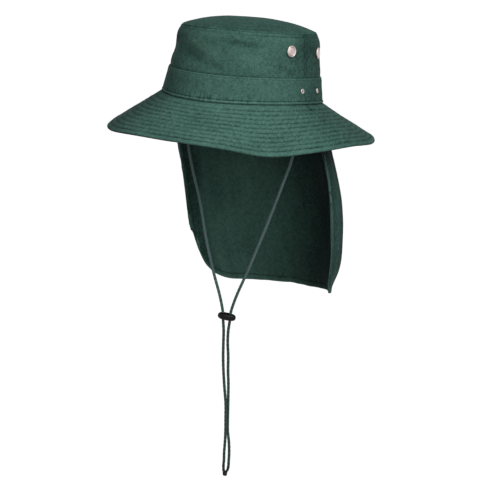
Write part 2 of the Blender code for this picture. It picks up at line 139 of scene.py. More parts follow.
FLAP_SECTIONS = table(
    FlapSection,
    (0.00, 1.000, 1.000, 0.000, 97.0), (0.25, 1.239, 0.996, 0.010, 95.0),
    (0.50, 1.268, 1.028, 0.067, 93.0), (0.75, 1.234, 1.044, 0.089, 94.0),
    (1.00, 1.100, 1.090, 0.133, 96.0),
)
FlapHem = namedtuple("FlapHem", "across length")
FLAP_HEM = table(
    FlapHem,
    (-1.00, 0.905), (-0.60, 0.955), (-0.20, 0.978), (0.15, 0.988), (0.60, 1.000), (1.00, 1.000),
)
FlapFold = namedtuple("FlapFold", "angle half_angle top foot depth")
FLAP_FOLDS = table(
    FlapFold,
    (112.0, 6.0, 0.30, 1.10, 0.008), (139.0, 7.0, 0.45, 1.20, -0.009), (163.0, 6.0, 0.10, 0.75, 0.007),
    (178.0, 4.0, 0.70, 1.15, -0.010), (194.0, 5.0, 0.62, 1.20, 0.012), (223.0, 6.0, 0.30, 0.85, -0.010),
    (247.0, 6.0, 0.50, 1.20, 0.008), (126.0, 22.0, 0.84, 1.16, -0.052),
    (266.0, 18.0, 0.74, 1.16, 0.032),
)
CORD_LEFT_ROUTE = (
    (0.0784, 0.0009, 0.0050), (0.0778, 0.0004, -0.0180), (0.0683, 0.0, -0.0600), (0.0535, 0.0, -0.0960),
    (0.0349, 0.0, -0.1386), (0.0180, 0.0, -0.1750), (0.0028, 0.0, -0.2070), (-0.0079, 0.0008, -0.2273),
    (-0.0152, 0.0018, -0.2425), (-0.0194, 0.0024, -0.2535), (-0.0208, 0.0024, -0.2635),
    (-0.0228, 0.0020, -0.2760), (-0.0235, 0.0018, -0.2905), (-0.0228, 0.0018, -0.3075),
    (-0.0231, 0.0018, -0.3250), (-0.0226, 0.0018, -0.3445), (-0.0235, 0.0018, -0.3820),
    (-0.0237, 0.0018, -0.3995), (-0.0219, 0.0016, -0.4130), (-0.0214, 0.0014, -0.4265),
    (-0.0219, 0.0012, -0.4370), (-0.0226, 0.0012, -0.4450), (-0.0246, 0.0012, -0.4510),
)
CORD_RIGHT_ROUTE = (
    (-0.0774, 0.0009, 0.0150), (-0.0790, 0.0006, -0.0200), (-0.0788, 0.0, -0.0582),
    (-0.0722, 0.0, -0.0900), (-0.0625, 0.0, -0.1238), (-0.0530, 0.0, -0.1705),
    (-0.0425, -0.0004, -0.2070), (-0.0340, -0.0010, -0.2308), (-0.0293, -0.0018, -0.2455),
    (-0.0272, -0.0024, -0.2550), (-0.0270, -0.0024, -0.2640), (-0.0266, -0.0020, -0.2755),
    (-0.0272, -0.0018, -0.2905), (-0.0276, -0.0018, -0.3075), (-0.0272, -0.0018, -0.3245),
    (-0.0259, -0.0018, -0.3440), (-0.0241, -0.0018, -0.3640), (-0.0241, -0.0018, -0.3810),
    (-0.0244, -0.0018, -0.3990), (-0.0253, -0.0016, -0.4125), (-0.0268, -0.0014, -0.4270),
    (-0.0272, -0.0012, -0.4360), (-0.0280, -0.0012, -0.4430), (-0.0278, -0.0012, -0.4515),
)

# Sewing: rows of stitches on the brim from its rim inwards, and places of the other seams
BRIM_HEM_ROW = 6.6 * MM
BRIM_ROW_STEP = 6.4 * MM
BRIM_ROWS = 10
BRIM_GROOVE = 0.58 * MM
BAND_WELT = 3.0 * MM
BAND_TOP_ROW = 2.0 * MM
CROWN_TOP_ROW = 2.2 * MM
FELL_SEAM = 4.4 * MM
FLAP_HEM_ROW = 6.8 * MM
THREAD_RADIUS = 0.28 * MM
STITCH_LIFT = 0.05 * MM

# How the cord is drawn, and how loosely things sit round it and round an eyelet
CORD_TWIST_PITCH = 10.5 * MM
CORD_RINGS = 620
CORD_SIDES = 18
CORD_PLAY = 3 * GAP
KNOT_COLLAR = 1.6 * MM
KNOT_BLUNTNESS = 0.75
HOLE_PLAY = 0.1 * MM

# How finely the cloth is drawn: points round the band, and how near points are joined into one
BAND_COLUMNS = 540
MERGE_DISTANCE = 0.01 * MM
# Girth of the middle of the brim as a share of its seam's
BRIM_GIRTH = 1.35

# Where a piece grows darker, or the cord paler: how much, from where and to where; for the
# crown, band and brim in degrees round the hat, and for the cord in height. On the crown, band
# and brim the darkening is painted shade on the sides turned away from the lights
Fade = namedtuple("Fade", "amount start end")
CROWN_SIDES_PAINTED_SHADE = Fade(2.7, 70.0, 98.0)
CROWN_RIGHT_PAINTED_SHADE = Fade(1.7, 12.0, 40.0)
BAND_SIDES_PAINTED_SHADE = Fade(2.4, 70.0, 100.0)
BAND_RIGHT_PAINTED_SHADE = Fade(1.6, 10.0, 36.0)
BRIM_LEFT_PAINTED_SHADE = Fade(2.3, 62.0, 105.0)
BRIM_RIGHT_PAINTED_SHADE = Fade(3.5, 0.0, 48.0)
# Cord: darker below the stopper, darker where singed near the knot, painted highlight high up
CORD_DARKER_BELOW_STOPPER = Fade(0.55, STOPPER_CENTRE.z + 10 * MM, STOPPER_CENTRE.z - 10 * MM)
CORD_SINGED = Fade(1.4, KNOT_TOP.z + 16 * MM, KNOT_TOP.z + 2 * MM)
CORD_LIT = Fade(1.3, -0.26, -0.17)
# The same painted shade on the flap, under the brim and towards its side edges: in metres down
# its cloth, or in shares of the way across it
FLAP_TOP_PAINTED_SHADE = Fade(3.8, 90 * MM, 10 * MM)
FLAP_INSIDE_PAINTED_SHADE = Fade(2.9, -0.85, -0.72)
FLAP_RIGHT_PAINTED_SHADE = Fade(2.8, 0.76, 0.88)
FLAP_LEFT_SHADE = 3.5

# Creases pressed into the crown: two ends as (angle, height share), half width and depth
Crease = namedtuple("Crease", "start end half_width depth")
CROWN_CREASES = (
    Crease((-14.0, 0.62), (20.0, 0.46), 5.0 * MM, 0.9 * MM),
    Crease((-8.0, 0.78), (14.0, 0.64), 5.0 * MM, -0.6 * MM),
    Crease((24.0, 0.825), (46.0, 0.80), 3.2 * MM, 0.9 * MM),
    Crease((67.0, 0.52), (77.0, 0.43), 4.0 * MM, 1.6 * MM),
    Crease((36.0, 0.62), (46.0, 0.58), 7.0 * MM, -0.7 * MM),
    Crease((80.0, 0.70), (84.0, 0.52), 3.2 * MM, 0.6 * MM),
    Crease((-40.0, 0.45), (-34.0, 0.85), 5.0 * MM, 0.7 * MM),
    Crease((128.0, 0.50), (146.0, 0.74), 4.0 * MM, 0.8 * MM),
    Crease((196.0, 0.72), (214.0, 0.50), 4.0 * MM, 0.9 * MM),
    Crease((262.0, 0.48), (272.0, 0.66), 4.0 * MM, 0.7 * MM),
    Crease((310.0, 0.62), (326.0, 0.80), 4.0 * MM, 0.8 * MM),
)

# Soft lights: name, direction round the hat, height above level, and share of the main power
STUDIO_LIGHTS = (
    ("key", 81.0, 35.0, 1.0),
    ("front", 51.0, 10.0, 0.60),
    ("top", 36.0, 88.0, 0.48),
    ("high_front", 21.0, 60.0, 0.36),
    ("low_fill", -9.0, 10.0, 0.14),
)
LIGHT_SIZE = 1.2
LIGHT_DISTANCE = 2.2
LIGHT_AIM_HEIGHT = -0.1
CAMERA_LENS_MM = 110.87
CAMERA_AIM_HEIGHT = -0.1638
CAMERA_SHIFT = 0.0035
FLOOR_SIZE = 120.0


def between(rows, column, at):
    """The value of a table's column at a place in its first column, on a smooth curve."""
    keys = [row[0] for row in rows]
    values = [getattr(row, column) for row in rows]
    at = min(max(at, keys[0]), keys[-1])
    last = len(keys) - 1
    low = max(i for i in range(last) if keys[i] <= at)
    slopes = []
    for i in (low, low + 1):
        before, after = max(i - 1, 0), min(i + 1, last)
        slopes.append((values[after] - values[before]) / (keys[after] - keys[before]))
    span = keys[low + 1] - keys[low]
    t = (at - keys[low]) / span
    return (
        (2 * t**3 - 3 * t**2 + 1) * values[low]
        + (t**3 - 2 * t**2 + t) * span * slopes[0]
        + (3 * t**2 - 2 * t**3) * values[low + 1]
        + (t**3 - t**2) * span * slopes[1]
    )


def angle_apart(angle, other):
    """Signed difference of two angles in degrees, from -180 to 180."""
    return (angle - other + 180.0) % 360.0 - 180.0


def oval(angle, half_length, half_width):
    """A point on a level oval, at an angle in degrees from the front."""
    turn = math.radians(angle)
    return Vector((half_width * math.sin(turn), -half_length * math.cos(turn), 0.0))


def oval_outwards(angle):
    """The level direction square to the opening's oval."""
    turn = math.radians(angle)
    out = Vector((OPENING_LENGTH * math.sin(turn), -OPENING_WIDTH * math.cos(turn), 0.0))
    return out.normalized()


def opening_oval(angle, offset):
    """A point on the opening's oval, moved outwards by an offset."""
    return oval(angle, OPENING_LENGTH / 2, OPENING_WIDTH / 2) + oval_outwards(angle) * offset


def seam_height(angle):
    """Height of the brim seam, which rises a little at both sides of the head."""
    return SIDE_LIFT * math.sin(math.radians(angle)) ** 2


def tipping():
    """The turn that tips the hat as it is worn."""
    back = Matrix.Rotation(math.radians(-TIPPED_BACK), 4, "X")
    left = Matrix.Rotation(math.radians(TIPPED_LEFT), 4, "Y")
    return left @ back


TIP = tipping()


def crown_surface(angle, share):
    """Outer face of the upright crown's side at a share of its height."""
    width = between(CROWN_SECTIONS, "width", share)
    point = opening_oval(angle, CROWN_WALL) * width
    top = CROWN_HEIGHT + TIP_RISE * math.cos(math.radians(angle - TIP_RISE_ANGLE))
    point.z = seam_height(angle) * (1 - min(share, 1.0)) ** SIDE_LIFT_FADE + top * share
    for dent in CROWN_DENTS:
        across = angle_apart(angle, dent.angle + dent.slant * (share - dent.height)) / dent.half_angle
        along = (share - dent.height) / dent.half_height
        depth = dent.depth * CROWN_HEIGHT * math.exp(-across**2 - along**2)
        point -= Vector((point.x, point.y, 0.0)).normalized() * depth
    return point


def crown_seat(angle, share, offset):
    """A frame on the upright crown's side: its Z axis points out of the cloth, its Y axis up."""
    aside, above = 0.5, 0.02
    point = crown_surface(angle, share)
    round_the_hat = crown_surface(angle + aside, share) - crown_surface(angle - aside, share)
    upwards = crown_surface(angle, share + above) - crown_surface(angle, share - above)
    out = round_the_hat.cross(upwards).normalized()
    side = upwards.cross(out).normalized()
    turn = Matrix((side, out.cross(side), out)).transposed().to_4x4()
    return Matrix.Translation(point + out * offset) @ turn


def brim_surface(angle, outwards):
    """Upper face of the upright brim at a distance outwards from the band's foot."""
    foot = CROWN_WALL + GAP + BAND_WALL
    droop = math.radians(between(BRIM_SECTIONS, "droop", angle_apart(angle, 0.0)))
    slope = max(outwards, 0.0)
    level = min(outwards, 0.0) + slope * math.cos(droop)
    point = opening_oval(angle, foot + level)
    point.z = seam_height(angle) - GAP - slope * math.sin(droop)
    return point


def corner_radius(angle_share):
    """Radius of the flap's lower corner on this side."""
    return FLAP_CORNER_RIGHT if angle_share > 0 else FLAP_CORNER_LEFT


def flap_half_girth():
    """Half the width of the flap's cloth along its foot."""
    foot = FLAP_SECTIONS[-1]
    return math.pi / 4 * (OPENING_LENGTH / 2 * foot.depth + OPENING_WIDTH / 2 * foot.width)


FLAP_HALF_GIRTH = flap_half_girth()


def flap_length(angle_share):
    """How long the flap would be here without its rounded corner."""
    return FLAP_LENGTH * between(FLAP_HEM, "length", angle_share)


def corner_drop(angle_share):
    """How much shorter the flap is beside its rounded lower corners."""
    radius = corner_radius(angle_share)
    from_edge = (1.0 - abs(angle_share)) * FLAP_HALF_GIRTH
    inside = max(radius - from_edge, 0.0)
    return radius - math.sqrt(max(radius**2 - inside**2, 0.0))


def flap_surface(angle_share, down):
    """Outer face of the flap; angle_share runs from the wearer's left edge, -1, to the right, 1."""
    end = between(FLAP_SECTIONS, "end", down)
    angle = 180.0 + angle_share * (180.0 - end)
    half_length = OPENING_LENGTH / 2 + CROWN_WALL
    half_width = OPENING_WIDTH / 2 + CROWN_WALL
    seam = oval(angle, half_length, half_width)
    seam.z = seam_height(angle) - BRIM_WALL - 2 * GAP
    point = TIP @ seam
    wider = (between(FLAP_SECTIONS, "width", down) - 1.0) * half_width
    deeper = (between(FLAP_SECTIONS, "depth", down) - 1.0) * half_length
    turn = math.radians(angle)
    point.x += wider * math.sin(turn)
    point.y += between(FLAP_SECTIONS, "back", down) * FLAP_LENGTH - deeper * math.cos(turn)
    for fold in FLAP_FOLDS:
        middle = (fold.top + fold.foot) / 2
        along = (down - middle) / ((fold.foot - fold.top) / 2)
        across = angle_apart(angle, fold.angle) / fold.half_angle
        depth = fold.depth * FLAP_LENGTH * math.exp(-across**2 - along**2 * 2)
        point += Vector((math.sin(turn), -math.cos(turn), 0.0)) * depth
    point.z -= down * (flap_length(angle_share) - corner_drop(angle_share))
    return point


def smooth_route(points, count):
    """Points at even distances along a smooth curve through the route's own points."""
    route = [Vector(point) for point in points]
    route = [route[0] * 2 - route[1]] + route + [route[-1] * 2 - route[-2]]
    fine = [route[1]]
    for i in range(1, len(route) - 2):
        before, start, end, after = route[i - 1 : i + 3]
        for step in range(1, 21):
            t = step / 20
            fine.append(
                (
                    start * 2
                    + (end - before) * t
                    + (before * 2 - start * 5 + end * 4 - after) * t**2
                    + (start * 3 - before - end * 3 + after) * t**3
                )
                / 2
            )
    return evenly(fine, count)


def evenly(line, count):
    """The same line again, with points at even distances."""
    lengths = [0.0]
    for start, end in zip(line, line[1:]):
        lengths.append(lengths[-1] + (end - start).length)
    even = []
    low = 0
    for i in range(count):
        at = lengths[-1] * i / (count - 1)
        while low < len(line) - 2 and lengths[low + 1] < at:
            low += 1
        share = (at - lengths[low]) / (lengths[low + 1] - lengths[low])
        even.append(line[low].lerp(line[low + 1], share))
    return even


def line_length(line):
    """Length of a line of points."""
    return sum((end - start).length for start, end in zip(line, line[1:]))


def ease(low, high, at):
    """0 below low, 1 above high, and a smooth climb between them."""
    t = min(max((at - low) / (high - low), 0.0), 1.0)
    return t * t * (3 - 2 * t)


def faded(fade, at):
    """How strong a fade is at a place."""
    return fade.amount * ease(fade.start, fade.end, at)


def bump(at, middle, half_width):
    """A smooth hump, 1 at its middle."""
    return math.exp(-(((at - middle) / half_width) ** 2))


def ripple(*place):
    """Smooth noise from about -1 to 1 at a place of up to three numbers."""
    return noise.noise(Vector((*place, 0.0, 0.0)[:3]))


def spaced(length, step, rounded):
    """Places along a length in even steps, with closer ones where its ends are rounded."""
    curve = [rounded * (1 - math.cos(math.radians(turn))) for turn in (0, 30, 60, 90)]
    count = max(round((length - 2 * rounded) / step), 1)
    middle = [rounded + (length - 2 * rounded) * i / count for i in range(1, count)]
    return curve + middle + [length - place for place in reversed(curve)]


def make_object(name, mesh):
    """An object at the origin for a mesh that is already in place."""
    piece = bpy.data.objects.new(name, mesh)
    bpy.context.scene.collection.objects.link(piece)
    return piece


def primitive(kind, name, **settings):
    """One of Blender's own shapes to start from, named and the only one selected."""
    bpy.ops.object.select_all(action="DESELECT")
    getattr(bpy.ops.mesh, f"primitive_{kind}_add")(**settings)
    piece = bpy.context.object
    piece.name = name
    piece.data.name = name
    return piece


def pick(piece):
    """Leave only this object selected, and active."""
    bpy.ops.object.select_all(action="DESELECT")
    piece.select_set(True)
    bpy.context.view_layer.objects.active = piece


# How cloth stands out of its smooth surface: its two faces, its painted light and shade there, and
# where the fold of an edge lies, from 0 at the outer face over 1 in the middle of the wall
Relief = namedtuple("Relief", "outer inner shade lean", defaults=(1.0,))


def lay_cloth(name, columns, rows, place, relief, edge, wall, flat, finish):
    """Cloth with a rounded edge: a grid, laid on a surface, pressed into relief and given a wall."""
    across, up = len(columns) - 1, len(rows) - 1
    piece = primitive("grid", name, x_subdivisions=across, y_subdivisions=up, size=1.0)
    cloth = bmesh.new()
    cloth.from_mesh(piece.data)
    outer = cloth.verts.layers.float.new("outer")
    inner = cloth.verts.layers.float.new("inner")
    shade = cloth.verts.layers.float.new("shade")
    uv = cloth.loops.layers.uv.verify()
    for face in cloth.faces:
        face.smooth = True
        for loop in face.loops:
            column = columns[round((loop.vert.co.x + 0.5) * across)]
            row = rows[round((loop.vert.co.y + 0.5) * up)]
            loop[uv].uv = flat(column, row)
    for vert in cloth.verts:
        column = columns[round((vert.co.x + 0.5) * across)]
        row = rows[round((vert.co.y + 0.5) * up)]
        here = relief(column, row)
        radius = wall / 2
        inset = min(edge(column, row) / radius, 1.0)
        thin = radius * (1 - math.sqrt(1 - (1 - inset) ** 2))
        vert[outer] = here.outer - thin * here.lean
        vert[inner] = here.inner - thin * (2 - here.lean)
        vert[shade] = here.shade
        vert.co = place(column, row)
    bmesh.ops.remove_doubles(cloth, verts=cloth.verts, dist=MERGE_DISTANCE)
    cloth.normal_update()
    out = {vert: vert.normal.copy() for vert in cloth.verts}
    copied = bmesh.ops.duplicate(cloth, geom=cloth.verts[:] + cloth.edges[:] + cloth.faces[:])
    twins = copied["vert_map"]
    lining = [face for face in copied["geom"] if isinstance(face, bmesh.types.BMFace)]
    bmesh.ops.reverse_faces(cloth, faces=lining)
    for vert, normal in out.items():
        twin = twins[vert]
        twin.co = vert.co - normal * (wall + vert[inner])
        vert.co = vert.co + normal * vert[outer]
    bmesh.ops.remove_doubles(cloth, verts=cloth.verts, dist=MERGE_DISTANCE)
    cloth.to_mesh(piece.data)
    cloth.free()
    for spare in ("outer", "inner"):
        piece.data.attributes.remove(piece.data.attributes[spare])
    piece.data.materials.append(finish)
    return piece


def settle(piece, nodes):
    """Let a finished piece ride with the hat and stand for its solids."""
    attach(piece, "root")
    if nodes:
        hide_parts(*nodes)


def surface_normal(place, column, row, step_column, step_row):
    """The direction out of a surface at one of its places."""
    along = place(column + step_column, row) - place(column - step_column, row)
    up = place(column, row + step_row) - place(column, row - step_row)
    return along.cross(up).normalized()


Seat = namedtuple("Seat", "point out")


def seam_run(place, relief, track, step_column, step_row):
    """Seats for a row of stitches along a track of places on a cloth of this relief."""
    run = []
    for column, row in track:
        out = surface_normal(place, column, row, step_column, step_row)
        lift = relief(column, row).outer + STITCH_LIFT
        run.append(Seat(place(column, row) + out * lift, out))
    return run


def under_run(run, depth):
    """The same row of stitches on the other face of the cloth."""
    return [Seat(seat.point - seat.out * depth, -seat.out) for seat in run]


def make_stitch():
    """One short stitch of thread, 1 long on X and 1 in radius, with its ends dipped."""
    stitch = primitive("uv_sphere", "stitch", segments=5, ring_count=5, radius=1.0)
    for vert in stitch.data.vertices:
        x, y, z = vert.co
        along = math.copysign(abs(z) ** 1.4, z) * 0.5
        vert.co = Vector((along, y, x + 0.25 - 3.0 * along**2))
    shape = [vert.co.copy() for vert in stitch.data.vertices]
    faces = [tuple(face.vertices) for face in stitch.data.polygons]
    bpy.data.objects.remove(stitch, do_unlink=True)
    return shape, faces


def sew(name, runs, pitch, length, finish):
    """Rows of stitches as one piece of thread: each stitch is a copy of one short shape."""
    shape, faces = make_stitch()
    points, polygons = [], []
    for run in runs:
        total = line_length([seat.point for seat in run])
        count = max(round(total / pitch), 1)
        line = evenly([seat.point for seat in run], count * 4 + 1)
        outs = evenly_outs(run, line)
        for i in range(count):
            start, middle, end = line[i * 4], line[i * 4 + 2], line[i * 4 + 4]
            out = outs[i * 4 + 2]
            along = (end - start).normalized()
            side = out.cross(along).normalized()
            first = len(points)
            for point in shape:
                points.append(
                    middle
                    + along * point.x * length
                    + side * point.y * THREAD_RADIUS
                    + out * point.z * THREAD_RADIUS
                )
            polygons += [tuple(first + corner for corner in face) for face in faces]
    mesh = bpy.data.meshes.new(name)
    mesh.from_pydata(points, [], polygons)
    mesh.shade_smooth()
    mesh.materials.append(finish)
    piece = make_object(name, mesh)
    shell = bmesh.new()
    shell.from_mesh(mesh)
    bmesh.ops.recalc_face_normals(shell, faces=shell.faces)
    shell.to_mesh(mesh)
    shell.free()
    return piece


def sew_on(context, name, runs):
    """Rows of stitches on the hat, in the thread and at the pitch that the settings say."""
    cloth = context.scene.hat_cloth
    finish = bpy.data.materials.get("sewing_thread") or thread_finish(cloth)
    thread = sew(name, runs, cloth.stitch_pitch, cloth.stitch_length, finish)
    settle(thread, [])
    return thread


def evenly_outs(run, line):
    """The outward direction at each point of a line that follows a run of seats."""
    outs = []
    near = 0
    for point in line:
        while (
            near < len(run) - 1
            and (run[near + 1].point - point).length < (run[near].point - point).length
        ):
            near += 1
        outs.append(run[near].out)
    return outs


# Crown


def crown_point(angle, height):
    """Outer face of the crown's side, as worn, at a height up its cloth."""
    return TIP @ crown_surface(angle, height / CROWN_HEIGHT)


def girth_at(angle_span):
    """Length of cloth round the crown's foot in a span of angles."""
    return math.radians(angle_span) * (OPENING_LENGTH + OPENING_WIDTH) / 4


def side_way(angle, height):
    """A place on the flat cloth of the crown's side or the band."""
    return girth_at(angle), height


def crease_depth(angle, share):
    """How deep the creases press the crown in at a place, in metres."""
    depth = 0.0
    for crease in CROWN_CREASES:
        start = Vector((0.0, crease.start[1] * CROWN_HEIGHT))
        end = Vector((girth_at(crease.end[0] - crease.start[0]), crease.end[1] * CROWN_HEIGHT))
        here = Vector((girth_at(angle_apart(angle, crease.start[0])), share * CROWN_HEIGHT))
        along = end - start
        t = min(max((here - start).dot(along) / along.length_squared, 0.0), 1.0)
        away = (here - start - along * t).length
        depth += crease.depth * bump(away, 0.0, crease.half_width)
    return depth


def crown_relief(angle, height):
    """Creases, soft waves and sunk seams of the crown's side, and their painted light and shade."""
    share = height / CROWN_HEIGHT
    free = ease(BAND_HEIGHT - 3 * MM, BAND_HEIGHT + 5 * MM, height)
    crease = crease_depth(angle, share)
    point = crown_surface(angle, share)
    wave = 0.5 * ripple(*(point * 24)) + 0.22 * ripple(*(point * 60 + Vector((7, 3, 1))))
    fine = 0.13 * ripple(*(point * 210))
    from_seam = girth_at(abs(abs(angle_apart(angle, 0.0)) - SIDE_SEAM))
    back = abs(angle_apart(angle, 0.0)) > SIDE_SEAM
    fell = bump(from_seam, FELL_SEAM, 0.9 * MM) if back else 0.0
    seam = bump(from_seam, 0.0, 1.2 * MM)
    top = bump(height, CROWN_HEIGHT - TIP_WALL - CROWN_TOP_ROW, 0.8 * MM)
    pucker = ripple(height / (3.2 * MM), from_seam / (8 * MM), 6.0) * bump(from_seam, 2 * MM, 5 * MM)
    sunk = 0.45 * fell + 0.35 * seam + 0.30 * top - 0.22 * pucker
    ridge = 0.25 * (1 - ease(FELL_SEAM - 0.5 * MM, FELL_SEAM, from_seam)) if back else 0.0
    outer = free * (-crease + (wave + fine + ridge - sunk) * MM)
    # Painted shade on the sides turned away from the lights
    painted_side_shade = faded(CROWN_SIDES_PAINTED_SHADE, abs(angle_apart(angle, 0.0)))
    painted_side_shade += faded(CROWN_RIGHT_PAINTED_SHADE, -angle_apart(angle, 0.0))
    # Painted shade in the top row, creases and seams, and painted light and shade following the waves
    top *= 0.3 + 1.4 * ease(30.0, 60.0, angle_apart(angle, 0.0))
    shade = -1.1 * crease / MM - 1.3 * fell - 1.1 * top - 1.2 * seam + 0.5 * wave - painted_side_shade
    # Painted shadow of the band's top edge, just above it
    painted_shadow_above_band = 2.2 * bump(height, BAND_HEIGHT + 0.6 * MM, 1.1 * MM)
    return Relief(outer, -outer, free * shade - painted_shadow_above_band, 0.06)


def add_crown_side(name, start, finish):
    """One side panel of the crown, from side seam to side seam."""
    span = 2 * SIDE_SEAM
    radius = CROWN_WALL / 2
    arcs = spaced(girth_at(span), 1.2 * MM, radius)
    columns = [start + span * arc / girth_at(span) for arc in arcs]
    top = CROWN_HEIGHT - 0.6 * TIP_WALL
    rows = spaced(top, 1.1 * MM, radius)

    def edge(angle, height):
        from_seam = min(angle - start, start + span - angle)
        return min(girth_at(from_seam), top - height, height)

    return lay_cloth(
        name, columns, rows, crown_point, crown_relief, edge, CROWN_WALL, side_way, finish
    )


def tip_point(angle, reach):
    """Upper face of the crown's tip, as worn, at a share of the way out to its rim."""
    middle = Vector((0.0, 0.0, CROWN_HEIGHT))
    rise = TIP_DOME * (1.0 - reach**TIP_DOME_POWER)
    return TIP @ (middle.lerp(crown_surface(angle, 1.0), reach) + Vector((0.0, 0.0, rise)))


def add_crown_tip(finish):
    """The domed oval panel that closes the crown."""
    half = (OPENING_LENGTH + OPENING_WIDTH) / 4 * CROWN_SECTIONS[-1].width
    columns = list(range(361))
    radius = TIP_WALL / 2
    ways = [way for way in spaced(half, 1.5 * MM, radius) if way <= half - 3 * radius]
    rows = [1.0 - way / half for way in ways] + [0.012, 0.0]

    def relief(angle, reach):
        point = tip_point(angle, reach)
        wave = 0.55 * ripple(*(point * 26)) + 0.2 * ripple(*(point * 70))
        settle_down = ease(0.0, 6 * MM, (1 - reach) * half)
        outer = settle_down * wave * MM
        rim = bump((1 - reach) * half, 0.6 * MM, 1.2 * MM)
        # Painted shade over the whole tip, lighter near its rim, and painted light and shade following
        # its waves
        return Relief(outer, -outer, 0.6 * wave - 2.4 + 1.2 * rim, 1.9)

    def edge(angle, reach):
        return (1.0 - reach) * half

    def flat(angle, reach):
        point = crown_surface(angle, 1.0) * reach
        return point.x, point.y

    return lay_cloth("crown_tip_cloth", columns, rows, tip_point, relief, edge, TIP_WALL, flat, finish)


# Band


def band_point(angle, height):
    """Outer face of the band, as worn, at a height up its cloth."""
    return TIP @ crown_seat(angle, height / CROWN_HEIGHT, GAP + BAND_WALL).translation


def band_relief(angle, height):
    """The band's welt, puckers, sunk rows and soft waves, and their painted light and shade."""
    arc = girth_at(angle_apart(angle, 0.0))
    around = Vector((math.sin(math.radians(angle)), math.cos(math.radians(angle))))
    welt = 0.45 * bump(height, BAND_WELT / 2, BAND_WELT / 2.4)
    row = bump(height, BAND_WELT + 0.3 * MM, 0.55 * MM)
    top_row = bump(height, BAND_HEIGHT - BAND_TOP_ROW, 0.55 * MM)
    loose = 0.6 + 0.8 * bump(angle_apart(angle, 14.0), 0.0, 28.0)
    pucker = ripple(arc / (1.9 * MM), height / (9 * MM), 2.0) * loose
    pucker *= math.exp(-abs(height - BAND_WELT) / (5.0 * MM))
    wave = ripple(around.x * 6, around.y * 6, height / (14 * MM)) * 0.35
    settle_top = 1 - ease(BAND_HEIGHT - 5 * MM, BAND_HEIGHT, height) * 0.7
    # Dark streaks of painted shade near the front
    streak = ripple(arc / (3.5 * MM), height / (40 * MM), 12.0)
    streak *= bump(angle_apart(angle, 4.0), 0.0, 14.0)
    fine = 0.08 * ripple(arc / (4.5 * MM), height / (4.5 * MM), 7.0)
    thin_top = 0.55 * ease(BAND_HEIGHT - 4 * MM, BAND_HEIGHT, height)
    outer = 1.5 * welt - 0.55 * row - 0.3 * top_row + 0.7 * pucker + wave * settle_top + fine - thin_top
    # Painted highlight along the top edge; painted shade in the rows, painted light on puckers, welt
    # and waves
    top_edge = bump(height, BAND_HEIGHT - 0.3 * MM, 0.7 * MM)
    shade = 0.4 - 4.4 * row - 0.9 * top_row + 3.6 * pucker + 4.0 * welt + 0.5 * wave + 1.5 * top_edge
    # Painted shade on the sides turned away from the lights
    painted_side_shade = faded(BAND_SIDES_PAINTED_SHADE, abs(angle_apart(angle, 0.0)))
    painted_side_shade += faded(BAND_RIGHT_PAINTED_SHADE, -angle_apart(angle, 0.0))
    return Relief(max(outer, -0.9) * MM, 0.0, shade + 2.0 * min(streak, 0.0) - painted_side_shade)


def add_band(finish):
    """The folded strip sewn round the foot of the crown."""
    radius = BAND_WALL / 2
    columns = [360.0 * i / BAND_COLUMNS for i in range(BAND_COLUMNS + 1)]
    rows = spaced(BAND_HEIGHT, 0.8 * MM, radius)

    def edge(angle, height):
        return min(height, BAND_HEIGHT - height)

    return lay_cloth(
        "hat_band_cloth", columns, rows, band_point, band_relief, edge, BAND_WALL, side_way, finish
    )


# Brim


def brim_point(angle, outwards):
    """Upper face of the brim, as worn, at a distance outwards from the band's foot."""
    return TIP @ brim_surface(angle, outwards)


def brim_rows():
    """Places of the rows of stitches, as distances outwards from the band's foot."""
    return [BRIM_WIDTH - BRIM_HEM_ROW - BRIM_ROW_STEP * i for i in range(BRIM_ROWS)]


def brim_relief(angle, outwards):
    """Sunk rows of stitches with soft rolls between them, waves of the whole brim, and their painted
    light and shade.
    """
    row = min(brim_rows(), key=lambda place: abs(place - outwards))
    away = outwards - row
    hem = row == brim_rows()[0]
    depth = BRIM_GROOVE * (1.35 if hem else 1.0)
    arc = girth_at(angle_apart(angle, 0.0)) * (1 + outwards / 0.09)
    pucker = ripple(arc / (3.4 * MM), row / MM, 5.0) * bump(away, 0.0, 2.4 * MM)
    # How strongly each row sinks and darkens, varying at random along the row
    uneven_strength = 1.0 + 0.55 * ripple(arc / (26 * MM), outwards / (20 * MM), 8.0)
    groove = math.exp(-abs(away) / (0.95 * MM)) * uneven_strength
    point = brim_surface(angle, outwards)
    wave = 0.7 * ripple(*(point * 17)) + 0.22 * ripple(*(point * 60))
    free = ease(0.0, 12 * MM, outwards)
    from_seam = girth_at(abs(abs(angle_apart(angle, 0.0)) - SIDE_SEAM))
    seam = bump(from_seam, 0.0, 0.9 * MM) * bump(outwards, 0.0, 14 * MM)
    lean = 0.06 + 0.94 * max(ease(1.5 * MM, 3 * MM, from_seam), bump(outwards, BRIM_WIDTH, 2 * MM))
    fine = 0.08 * ripple(*(point * 230))
    surface = -depth * groove + (0.24 * pucker + fine - 0.3 * seam) * MM
    bend = free * wave * MM
    # Painted shade on the sides turned away from the lights
    painted_side_shade = faded(BRIM_LEFT_PAINTED_SHADE, angle_apart(angle, 0.0))
    painted_side_shade += faded(BRIM_RIGHT_PAINTED_SHADE, -angle_apart(angle, 0.0))
    # Painted shade along the rim, in the grooves and seam, painted shadow beside the band, painted
    # light on puckers and waves
    rim = bump(outwards, BRIM_WIDTH, 1.2 * MM) * (outwards > 0)
    painted_shadow_beside_band = bump(outwards, 0.0, 1.5 * MM)
    shade = -2.9 * groove * (1.4 if hem else 1.0) + 2.2 * pucker - 1.6 * seam + 0.4 * wave
    shade += 0.85 - painted_side_shade - 1.8 * painted_shadow_beside_band - 1.0 * rim
    return Relief(surface + bend, surface - bend, shade, lean)


